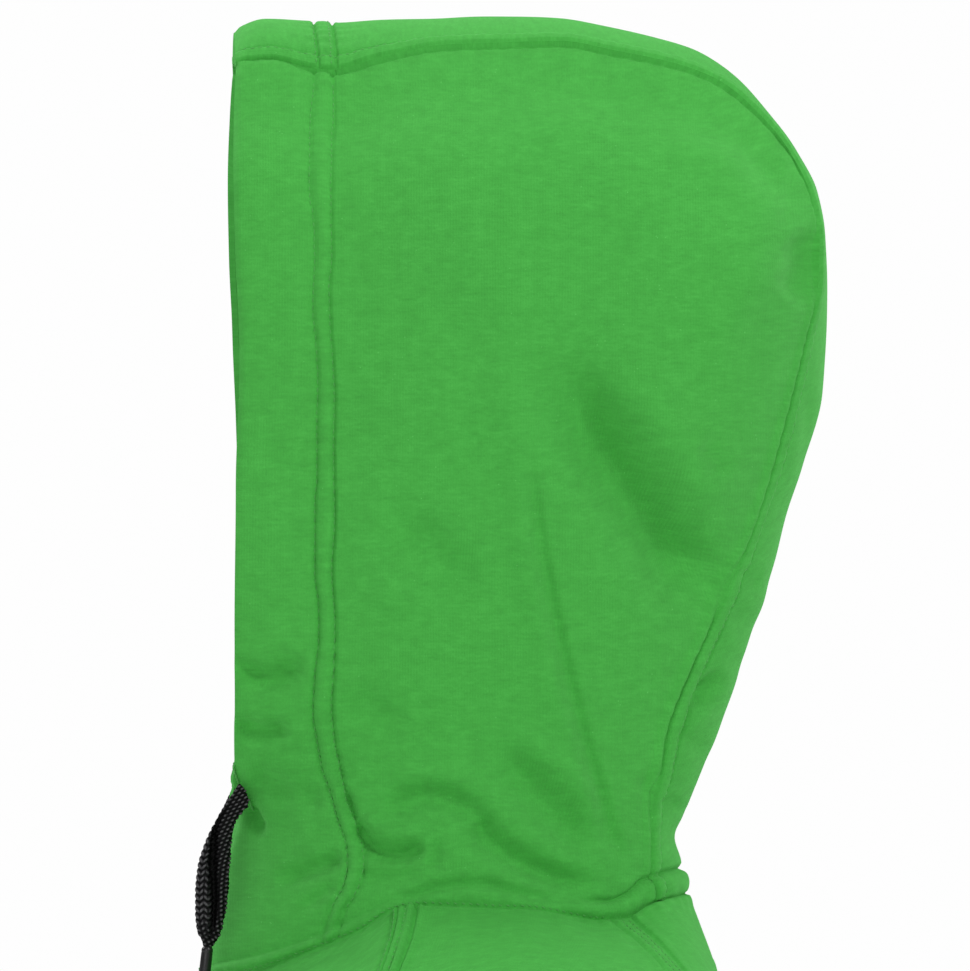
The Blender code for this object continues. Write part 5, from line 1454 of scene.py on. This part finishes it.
def build_sleeve(side, seed, folds):
    cap, arm, uvc, uva = sleeve_surface(seed, folds)
    p = stitch_grids(cap, arm)
    rows, cols = np.arange(len(p)), np.arange(p.shape[1])
    mix = soft((24 - np.abs(rows - 120)) / 18)[:, None] * soft((np.minimum(cols, cols[::-1]) - 1) / 9)[None]
    for _ in range(260):
        p[1:-1] += (0.5 * mix[1:-1])[..., None] * ((p[:-2] + p[2:]) / 2 - p[1:-1])
    lowuv = np.concatenate([uva, uva[:, -1:] + (uva[:, 1:2] - uva[:, :1])], 1)
    uv = np.concatenate([uvc[:-1], lowuv], 0)
    # the underarm seam closes on itself: the offset added here is zero
    p[121:, 0] += 0
    name = "sleeve_" + side
    flip = side == "left"
    q = p if side == "left" else reversed_x(p)
    cloth(name, q, flip, FABRIC, KNIT, uv, replace=(name,), stride=4)
    return p


SLEEVES = {"left": build_sleeve("left", 81, SLEEVE_FOLDS)}
SLEEVES["right"] = build_sleeve("right", 93, tuple(
    (a0 - 0.01 * (a0 > 0.95), b0 + 0.04, a1 + 0.01, b1 + 0.02, a2 - 0.01, b2 + 0.05, w * 1.06, d * 0.95, e1, e2)
    for a0, b0, a1, b1, a2, b2, w, d, e1, e2 in SLEEVE_FOLDS))


# --------------------------------------------------------------------- ribbing
def rib_wave(along, pitch):
    """Rounded ribs with narrow valleys."""
    return np.abs(np.sin(np.pi * along / pitch)) ** 0.55


def build_cuffs():
    for side in ("left", "right"):
        sign = 1 if side == "left" else -1
        ribs, per = 66, 8
        nc = ribs * per
        k = np.concatenate([np.linspace(0, 1, 7), np.linspace(1, 3, 19)[1:]])
        t = np.arange(nc) / nc
        p = ring(CUFF, k[:, None] + 0 * t[None], t[None] + 0 * k[:, None])
        n = normals(p, True, True)
        down = run_along(p, 0)
        total = down[-1:].copy()
        wave = rib_wave(t * ribs + 0.0, 1.0)[None]
        lean = 0.5 * value_noise(t * 9, 0 * t, 5)[None]
        size = (0.8 + 0.2 * value_noise(t[None] * 40 + 0 * down, down / 30, 12 + sign))
        h = 0.95 * wave * size * (1 - 0.55 * bell(down, 2.5)) - 0.5
        h += 0.8 * value_noise(np.cos(2 * np.pi * t)[None] * 1.5 + 3, down / 26 + np.sin(2 * np.pi * t)[None] * 1.5, 14 + sign)
        h -= 1.3 * bell(down, 1.6) + 1.0 * bell(total - down, 1.4)
        h += 0.35 * lean * 0
        out = p + n * h[..., None]
        closed = np.concatenate([p, p[:, :1]], 1)
        uv = np.stack([run_along(closed, 1)[:, :-1], down], -1)
        name = "cuff_" + side
        q = out if side == "left" else reversed_x(out)
        cloth(name, q, side == "left", RIB, RIBKNIT, uv, wrap=True, replace=(name,))


build_cuffs()


def build_hem():
    k = np.concatenate([np.linspace(0, 1, 5), np.linspace(1, 3, 11)[1:]])
    row = [read(HEM, k, c)[:, None] for c in (1, 2, 3, 4, 5)]
    fine = np.linspace(0, 1, 900)
    t0 = at_x(lambda t: section([r[:, 0] for r in row], "front", t), ZIP_EDGE, len(k))
    tf = t0[:, None] + (1 - t0[:, None]) * fine[None]
    a = section(row, "front", tf)
    b = section(row, "back", fine[None] + 0 * tf)
    half = np.concatenate([a, b[:, 1:]], 1)
    whole = np.concatenate([half, reversed_x(half[:, -2::-1])], 1)
    run = run_along(whole, 1)
    ribs, per = 300, 6
    nc = ribs * per + 1
    s = np.linspace(0, 1, nc)
    p = np.empty((len(k), nc, 3))
    for r in range(len(k)):
        at = s * run[r, -1]
        for i in range(3):
            p[r, :, i] = np.interp(at, run[r], whole[r, :, i])
    n = normals(p, False, True)
    # outward of a smooth form, so that ribs don't lean
    down = run_along(p, 0)
    total = down[-1:].copy()
    wave = np.abs(np.sin(np.pi * s * ribs)) ** 0.55
    size = 0.8 + 0.2 * value_noise(s[None] * 170 + 0 * down, down / 30, 22)
    ends = np.minimum(s, 1 - s) * run[0, -1]
    plain = soft((ends - 5.0) / 3.0)[None]
    h = (1.0 * wave[None] * size * (1 - 0.55 * bell(down, 2.5)) - 0.5) * plain
    h += 1.0 * value_noise(s[None] * 26 + 0 * down, down / 50, 24) * plain
    h -= 1.3 * bell(down, 1.6) + 1.0 * bell(total - down, 1.5)
    h += 0.35 * (1 - plain) - 0.9 * bell(ends, 1.3)[None]
    out = p + n * h[..., None]
    uv = np.stack([s[None] * run[0, -1] + 0 * down, down], -1)
    cloth("hem_band", out, True, RIB, RIBKNIT, uv, replace=("hem_band",))


build_hem()


# ------------------------------------------------------------------- the zip
def zip_line(n=300):
    """The middle front from the neck to the hem's end: points, outward, downward."""
    s = np.linspace(0.012, 2.0, n)
    a = body(s, "front", 0 * s)
    k = np.linspace(0, 3, 40)[1:]
    b = section([read(HEM, k, c) for c in (1, 2, 3, 4, 5)], "front", 0 * k)
    p = np.concatenate([a, b])
    p[:, 0] = 0
    q = resample(p, 1.0)[0]
    d = np.gradient(q, axis=0)
    d /= np.linalg.norm(d, axis=1, keepdims=True)
    for _ in range(6):
        d[1:-1] = (d[:-2] + d[2:]) / 4 + d[1:-1] / 2
    d /= np.linalg.norm(d, axis=1, keepdims=True)
    out = np.column_stack([0 * d[:, 0], d[:, 2], -d[:, 1]])
    return q, out, d


ZIP_P, ZIP_OUT, ZIP_DOWN = zip_line()
TAPE_FRONT, TAPE_BACK = -(RIB + 0.75), -(RIB + 1.55)


def build_tapes():
    x = np.array([0.9, 1.6, 2.4, 3.4, 4.4, 6.0, 8.0, 10.0, 12.0, 13.4, 14.3])
    cut = ZIP_P[::2] if len(ZIP_P) % 4 == 1 else ZIP_P[: len(ZIP_P) - (len(ZIP_P) - 1) % 4][::2]
    out = ZIP_OUT[: len(ZIP_P)][::2][: len(cut)]
    bend = np.array([np.interp(x, [0, 40], [0, 0.8])])      # the front curves away a little
    p = cut[:, None] + out[:, None] * (TAPE_FRONT - bend[..., None] * 0) + xyz(x, 0.012 * x**2 * 0.5, 0 * x)[None]
    cord = 0.55 * bell(x - 1.6, 0.9)
    p = p + out[:, None] * cord[None, :, None]
    down = run_along(p, 0)
    uv = np.stack([x[None] + 0 * down, down], -1)
    for side in ("left", "right"):
        name = "zip_tape_" + side
        q = p if side == "left" else reversed_x(p)
        cloth(name, q, side == "left", 0.8, TAPE, uv, replace=(name,))


build_tapes()


def build_teeth():
    pitch, verts, quads, n = 2.5, [], [], 0
    run = np.arange(len(ZIP_P)) * 1.0
    start, stop = 9.0, run[-1] - 9.0
    count = int((stop - start) / pitch)
    # a tooth: three outlines (across, along, out) joined into a rounded block with a nose
    prof = np.array([(-0.55, 0.62), (-0.25, 0.80), (0.3, 0.74), (1.6, 0.66), (2.5, 0.46), (2.75, 0.0),
                     (2.5, -0.46), (1.6, -0.66), (0.3, -0.74), (-0.25, -0.80), (-0.55, -0.62)])
    levels = ((-1.75, 0.80), (-1.35, 1.0), (-0.1, 1.0), (0.22, 0.93), (0.38, 0.72))
    m = len(prof)
    for k in range(count):
        for sign in (1, -1):
            at = start + pitch * k + (pitch / 2 if sign < 0 else 0)
            c = np.array([np.interp(at, run, ZIP_P[:, i]) for i in range(3)])
            o = np.array([np.interp(at, run, ZIP_OUT[:, i]) for i in range(3)])
            d = np.array([np.interp(at, run, ZIP_DOWN[:, i]) for i in range(3)])
            for depth, scale in levels:
                across = (prof[:, 0] - 0.9) * scale + 0.9
                pts = c + np.array([1.0, 0, 0]) * (sign * (across - 0.35))[:, None] + d * (prof[:, 1] * scale)[:, None] + o * depth
                verts.append(pts)
            i = np.arange(len(levels) - 1)[:, None] * m
            j = np.arange(m)[None]
            j1 = (j + 1) % m
            q = np.stack([i + j, i + j1, i + m + j1, i + m + j], -1).reshape(-1, 4) + n
            quads.append(q if sign < 0 else q[:, ::-1])
            # flat ends, as strips across the outline
            for lev, turn in ((0, True), (len(levels) - 1, False)):
                b = n + lev * m
                for a1, a2 in zip(range(0, m // 2), range(m - 1, m // 2, -1)):
                    f = [b + a1, b + a1 + 1, b + a2 - 1, b + a2]
                    if (turn != (sign < 0)):
                        f = f[::-1]
                    quads.append(np.array([f]))
            n += m * len(levels)
    q = np.concatenate(quads)
    dup = (q[:, 1] == q[:, 2])
    tris = q[dup][:, [0, 1, 3]]
    add_mesh("zip_chain", np.concatenate(verts), q[~dup], tris, TEETH, replace=("zip_chain",), smooth=False)


build_teeth()

for name, mat in (("zip_slider", METAL), ("zip_pull", METAL)):
    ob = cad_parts[name]
    ob.data.materials.clear()
    ob.data.materials.append(mat)


# ------------------------------------------------------------------- the cords
def smooth_route(points, n):
    pts = np.asarray(points, float)
    m = len(pts) - 1
    out = []
    for k in range(n):
        x = m * k / (n - 1)
        i = min(int(x), m - 1)
        t = x - i
        p1, p2 = pts[i], pts[i + 1]
        p0 = pts[i - 1] if i else p1 * 2 - p2
        p3 = pts[i + 2] if i + 2 <= m else p2 * 2 - p1
        out.append(0.5 * ((2 * p1) + (p2 - p0) * t + (2 * p0 - 5 * p1 + 4 * p2 - p3) * t**2
                          + (3 * p1 - p0 - 3 * p2 + p3) * t**3))
    return np.array(out)


CORD_SHAPE = (  # z | y of its front outline | of its back outline | thickness | groove's place | its depth
    (52.4, -82.7, -81.8, 1.2, 0.2, 0.0), (50.6, -83.9, -80.2, 2.4, 0.2, 0.0),
    (48.4, -85.4, -79.3, 3.0, 0.2, 0.0), (45.6, -87.2, -78.5, 3.4, 0.2, 0.1),
    (43.6, -88.5, -78.9, 3.6, 0.2, 0.2), (41.6, -89.7, -80.6, 3.8, 0.18, 0.4),
    (39.2, -91.0, -82.8, 4.0, 0.16, 0.6), (36.8, -92.2, -84.1, 4.2, 0.17, 0.8),
    (34.0, -93.7, -85.0, 4.4, 0.21, 1.0), (28.0, -96.3, -85.6, 4.8, 0.36, 1.0),
    (19.6, -98.8, -86.1, 5.0, 0.47, 1.0), (8.8, -99.8, -86.7, 5.0, 0.55, 1.0),
    (0.8, -99.8, -88.0, 5.0, 0.60, 1.0), (-4.0, -99.5, -88.9, 4.9, 0.62, 0.7),
    (-7.4, -98.9, -89.9, 4.7, 0.60, 0.4), (-9.8, -97.5, -91.0, 4.4, 0.55, 0.15),
    (-11.4, -97.0, -92.3, 4.1, 0.5, 0.0), (-12.4, -96.7, -92.7, 3.6, 0.5, 0.0),
)


def build_cord(side):
    """A flat tubular braid folded lengthwise: two plump lobes and a hollow between."""
    sign = 1 if side == "left" else -1
    route = smooth_route(CORD, 10)
    # the right one hangs a touch further back, hidden by the left one
    if side == "right":
        route = route + np.array([0.0, 1.0, 0.0]) * (1.2 + 1.6 * soft((50.5 - route[:, 2:3]) / 12.0))
    line = smooth_route(route, 181)
    table = np.array(CORD_SHAPE)[::-1]
    table = np.column_stack([table[:, 0], table[:, 1:]])
    rows, m = 230, 72
    zz = np.linspace(52.4, -12.4, rows)
    y0, y1, th, gp, gd = [read(table, zz, c) for c in (1, 2, 3, 4, 5)]
    # the picture's places brought back to the cord's own depth
    xc = np.interp(-zz, -line[:, 2], line[:, 0])
    yc = (y0 + y1) / 2
    k0 = 1 - xc / DISTANCE
    yc = MIDDLE[1] + (yc - MIDDLE[1]) * k0 - xc * math.tan(math.pi / 2 - AZIMUTH)
    zc = MIDDLE[2] + (zz - MIDDLE[2]) * k0
    if side == "right":
        yc = yc + 1.2 + 1.6 * soft((50.5 - zz) / 12.0)
    half = (y1 - y0) / 2
    a = np.arange(m) * 2 * np.pi / m
    cx, cy = np.cos(a)[None], np.sin(a)[None]
    place = (cx + 1) / 2                      # 0 at the front outline, 1 at the back one
    flat = np.sign(cy) * np.abs(cy) ** 0.7
    wide = 0.115 - 0.02 * np.cos(zz / 9.0)
    hollow = bell(place - gp[:, None], wide[:, None]) * gd[:, None]
    # each lobe is plump between its own edge and the hollow
    rel = np.where(place < gp[:, None], place / np.maximum(gp[:, None], 0.05),
                   (1 - place) / np.maximum(1 - gp[:, None], 0.05))
    lobe = np.sqrt(np.clip(1 - (2 * rel - 1) ** 2, 0, 1))
    face = np.where(cy > 0, flat * (0.78 + 0.34 * lobe * gd[:, None]) * (1 - 0.86 * hollow), flat * 0.95)
    x = xc[:, None] + face * th[:, None] / 2
    y = yc[:, None] + cx * half[:, None]
    z = zc[:, None] + 0 * cx
    pts = xyz(x, y, z)
    mid = xyz(xc, yc, zc)[:, None]
    n = normals(pts, True)
    n = np.where((((pts - mid) * n).sum(-1) < 0)[..., None], -n, n)
    # the braid. The back lobe: columns of short slanting plaits. The front lobe: chevrons.
    down = -(zz[:, None])
    lane = (y1 - y0)[:, None] * place                     # mm from the front outline
    col = lane / 1.85
    odd = np.mod(np.floor(col), 2)
    cell = down / 1.8 + 0.5 * odd + 0.2 * np.mod(col, 1.0)
    plait = np.abs(np.sin(np.pi * np.mod(col, 1.0))) ** 0.55 * np.abs(np.sin(np.pi * cell)) ** 0.7
    vee = np.abs(np.mod(lane / 3.3, 1.0) - 0.5) * 2
    chev = np.abs(np.sin(np.pi * (down / 2.5 + 0.62 * vee))) ** 0.6 * (0.55 + 0.45 * np.abs(np.sin(np.pi * lane / 1.65)) ** 0.5)
    front_lobe = soft((gp[:, None] - place) / 0.04 + 0.5) * np.clip(gd[:, None], 0, 1)
    h = (1 - front_lobe) * (0.75 * plait - 0.3) + front_lobe * (0.85 * chev - 0.35)
    # painted light of the braid: plait tops and chevrons painted pale as highlights, the hollow of the fold painted
    # darker as shade
    plait_highlight_hollow_shade = ((1 - front_lobe) * plait + front_lobe * chev) * (1 - 0.9 * hollow * (cy > 0))
    size = np.clip(np.minimum((52.4 - zz) / 3.0, (zz + 12.4) / 3.0), 0.1, 1)[:, None]
    pts = pts + n * (h * size)[..., None]
    verts = np.concatenate([pts.reshape(-1, 3), [mid[0, 0] + [0, 0, 0.2], mid[-1, 0] - [0, 0, 0.3]]])
    base = rows * m
    quads = grid_faces(rows, m, True, False)
    tris = [(base, (j + 1) % m, j) for j in range(m)]
    top = (rows - 1) * m
    tris += [(base + 1, top + j, top + (j + 1) % m) for j in range(m)]
    tris = np.array(tris)
    va, vb = pts[100, 1] - pts[100, 0], pts[101, 0] - pts[100, 0]
    if np.cross(va, vb) @ (pts[100, 0] - mid[100, 0]) < 0:
        quads, tris = quads[:, ::-1], tris[:, ::-1]
    tan = np.gradient(line, axis=0)
    tan /= np.linalg.norm(tan, axis=1, keepdims=True)
    uv = None
    name = "cord_" + side
    if sign < 0:
        verts = reversed_x(verts)
        quads, tris = quads[:, ::-1], tris[:, ::-1]
        route = reversed_x(route)
    ob = add_mesh(name, verts, quads, tris, BRAID, uv, replace=(name,))
    # the braid's painted highlights and painted shade, kept for each point
    lit = ob.data.attributes.new("painted_braid_light", "FLOAT", "POINT")
    lit.data.foreach_set("value", np.concatenate([plait_highlight_hollow_shade.ravel(), [0, 0]]).astype(np.float32))
    # the tip: a smooth crimped tube
    d = route[-1] - route[-2]
    d /= np.linalg.norm(d)
    other = np.cross(d, [1, 0, 0])
    other /= np.linalg.norm(other)
    one = np.cross(other, d)
    R = AGLET_D / 2 + 0.2
    prof = ((-0.9, R - 0.7), (0.0, R - 0.3), (0.3, R - 0.1), (0.8, R), (1.4, R), (1.6, R - 0.07), (1.9, R - 0.07),
            (2.1, R), (8.0, R + 0.02), (16.0, R), (22.6, R), (22.9, R - 0.08), (23.2, R - 0.08), (23.5, R),
            (AGLET_L - 0.9, R), (AGLET_L - 0.45, R - 0.15), (AGLET_L - 0.12, R - 0.5), (AGLET_L, R - 0.95))
    ang = np.arange(40) * 2 * np.pi / 40
    rings = np.array([route[-1] + d * hh + (one * np.cos(ang)[:, None] + other * np.sin(ang)[:, None]) * rr for hh, rr in prof])
    tv = np.concatenate([rings.reshape(-1, 3), [route[-1] - d * 0.6, route[-1] + d * (AGLET_L - 0.25)]])
    tq = grid_faces(len(prof), 40, True, False)
    nb = len(prof) * 40
    tt = [(nb, (j + 1) % 40, j) for j in range(40)] + [(nb + 1, nb - 40 + j, nb - 40 + (j + 1) % 40) for j in range(40)]
    tt = np.array(tt)
    chk = np.cross(rings[1, 1] - rings[1, 0], rings[2, 0] - rings[1, 0]) @ (rings[1, 0] - route[-1])
    if chk < 0:
        tq, tt = tq[:, ::-1], tt[:, ::-1]
    tip = add_mesh("aglet_" + side, tv, tq, tt, TIP, replace=("aglet_" + side,))
    return ob


for side in ("left", "right"):
    build_cord(side)


def sewn(name, threads, side="left"):
    if side == "right":
        threads.mirrored()
    threads.make(name, THREAD)


for side, p, n in (("left", hood_left, hood_left_n), ("right", hood_right, hood_right_n)):
    t = Threads()
    for k, table in enumerate((STITCH_FRONT, STITCH_BACK)):
        z = np.linspace(3.0, 333.0, 500)
        t.row(*nearest_on(p, n, read(table, z, 1), z), 3.1, 2.2, 0.45, 0.0, seed=3 + k)
    for hole in (((-84.9, 60.0), (-83.9, 56.4), (-82.2, 52.4)), ((-78.6, 46.6), (-77.2, 43.4), (-76.6, 41.4))):
        rim = curve3(*hole, 40)
        pts, dirs = nearest_on(p, n, rim[:, 0], rim[:, 1])
        t.row(pts, dirs, 1.1, 1.5, 0.8, 0.45, seed=8)
    t.row(*inset(p, "r0", 1.3, slice(44, 190) if side == "left" else slice(24, 104)), 3.0, 1.9, 0.5, 0.1, 0.9, 6)
    sewn("hood_stitching_" + side, t, side)

t = Threads()
for edge in ("c0", "c1"):
    t.row(*inset(centre, edge, 6.6), 3.1, 2.3, 0.5, 0.1, seed=11)
for at in (33.2, 40.6):
    t.row(*inset(centre, "r0", at), 3.1, 2.3, 0.5, 0.1, seed=12)
sewn("centre_stitching", t)

for side in ("left", "right"):
    p, t = SLEEVES[side], Threads()
    rows = slice(3, 118)
    for edge, at in (("c0", 2.3), ("c0", 5.6), ("c1", 2.3), ("c1", 5.6)):
        t.row(*inset(p[:121], edge, at, rows, True, True), 3.1, 2.2, 0.5, 0.15, seed=21)
    for at in (2.2, 8.2):
        t.row(*inset(p, "r1", at, slice(None), True), 3.3, 2.4, 0.5, 0.1, seed=23)
    sewn("sleeve_stitching_" + side, t, side)
    p, t = FRONTS[side], Threads()
    t.row(*inset(p, "c0", 6.5, slice(4, -3), True), 3.3, 2.4, 0.5, 0.1, seed=25)
    for at in (2.2, 8.2):
        t.row(*inset(p, "r1", at, slice(3, None), True), 3.3, 2.4, 0.5, 0.1, seed=26)
    sewn("front_stitching_" + side, t, side)

t = Threads()
for at in (2.2, 8.2):
    t.row(*inset(BACK, "r1", at, slice(None), True), 3.3, 2.4, 0.5, 0.1, seed=27)
sewn("back_stitching", t)

# ------------------------------------------------------------- floor and light
floor = bpy.data.meshes.new("floor")
floor.from_pydata([(-6, -6, -0.70), (6, -6, -0.70), (6, 6, -0.70), (-6, 6, -0.70)], [], [(0, 1, 2, 3)])
floor_ob = bpy.data.objects.new("floor", floor)
scene.collection.objects.link(floor_ob)
fm, ft, fb = nodes_of("floor")
fb.inputs["Base Color"].default_value = (0.55, 0.55, 0.55, 1)
fb.inputs["Emission Color"].default_value = (1, 1, 1, 1)
_net = Net(ft)  # the floor glows, more strongly far away: painted light where the lamps do not reach
_far = _net.node("ShaderNodeVectorMath", operation="LENGTH")
_net.link(_net.node("ShaderNodeNewGeometry").outputs["Position"], _far.inputs[0])
_net.link(_net.math("MULTIPLY_ADD", _net.math("SMOOTH_MIN", _net.math("MAXIMUM", _net.math("MULTIPLY_ADD", _far.outputs["Value"], 0.42, -0.6), 0.0), 1.0, 0.3), 0.45, 0.36),
          fb.inputs["Emission Strength"])
fb.inputs["Roughness"].default_value = 0.7
floor.materials.append(fm)


def area(name, at, to, size, power, colour=(1, 1, 1)):
    l = bpy.data.lights.new(name, "AREA")
    l.shape, l.size, l.energy, l.color = "DISK", size, power, colour
    o = bpy.data.objects.new(name, l)
    o.location = at
    o.rotation_euler = (Vector(to) - Vector(at)).to_track_quat("-Z", "Y").to_euler()
    scene.collection.objects.link(o)
    return o


area("key", (2.4, 1.5, 2.4), (0, 0, 0.1), 0.8, 43)
area("top", (0.0, 0.5, 3.2), (0, 0, 0.0), 1.6, 33)
area("fill", (3.4, -1.4, 0.9), (0, 0, 0.1), 2.4, 21.5)
area("rear", (-2.2, 1.8, 1.8), (0, 0, 0), 2.0, 26)
area("front", (-1.6, -2.8, 2.2), (0, 0, -0.1), 1.0, 24)
area("side", (-2.5, -1.7, 2.1), (0, 0, -0.1), 1.2, 24)

world = bpy.data.worlds.new("world")
scene.world = world
world.use_nodes = True
wt = world.node_tree
bg = wt.nodes["Background"]
bg.inputs["Color"].default_value = (1, 1, 1, 1)
bg.inputs["Strength"].default_value = 0.29
pale = wt.nodes.new("ShaderNodeBackground")
pale.inputs["Color"].default_value = (0.99, 0.99, 0.99, 1)
pale.inputs["Strength"].default_value = 1.0
lp = wt.nodes.new("ShaderNodeLightPath")
mx = wt.nodes.new("ShaderNodeMixShader")
wt.links.new(lp.outputs["Is Camera Ray"], mx.inputs[0])
wt.links.new(bg.outputs[0], mx.inputs[1])
wt.links.new(pale.outputs[0], mx.inputs[2])
wt.links.new(mx.outputs[0], wt.nodes["World Output"].inputs["Surface"])
scene.view_settings.view_transform = "Standard"


count = 0
for name, ob in PIECES.items():
    ob.data.calc_loop_triangles()
    n = len(ob.data.loop_triangles)
    count += n
    print("PIECE", name, n, round(sum(f.area for f in ob.data.polygons) / 2, 4))
print("TRIANGLES", count)
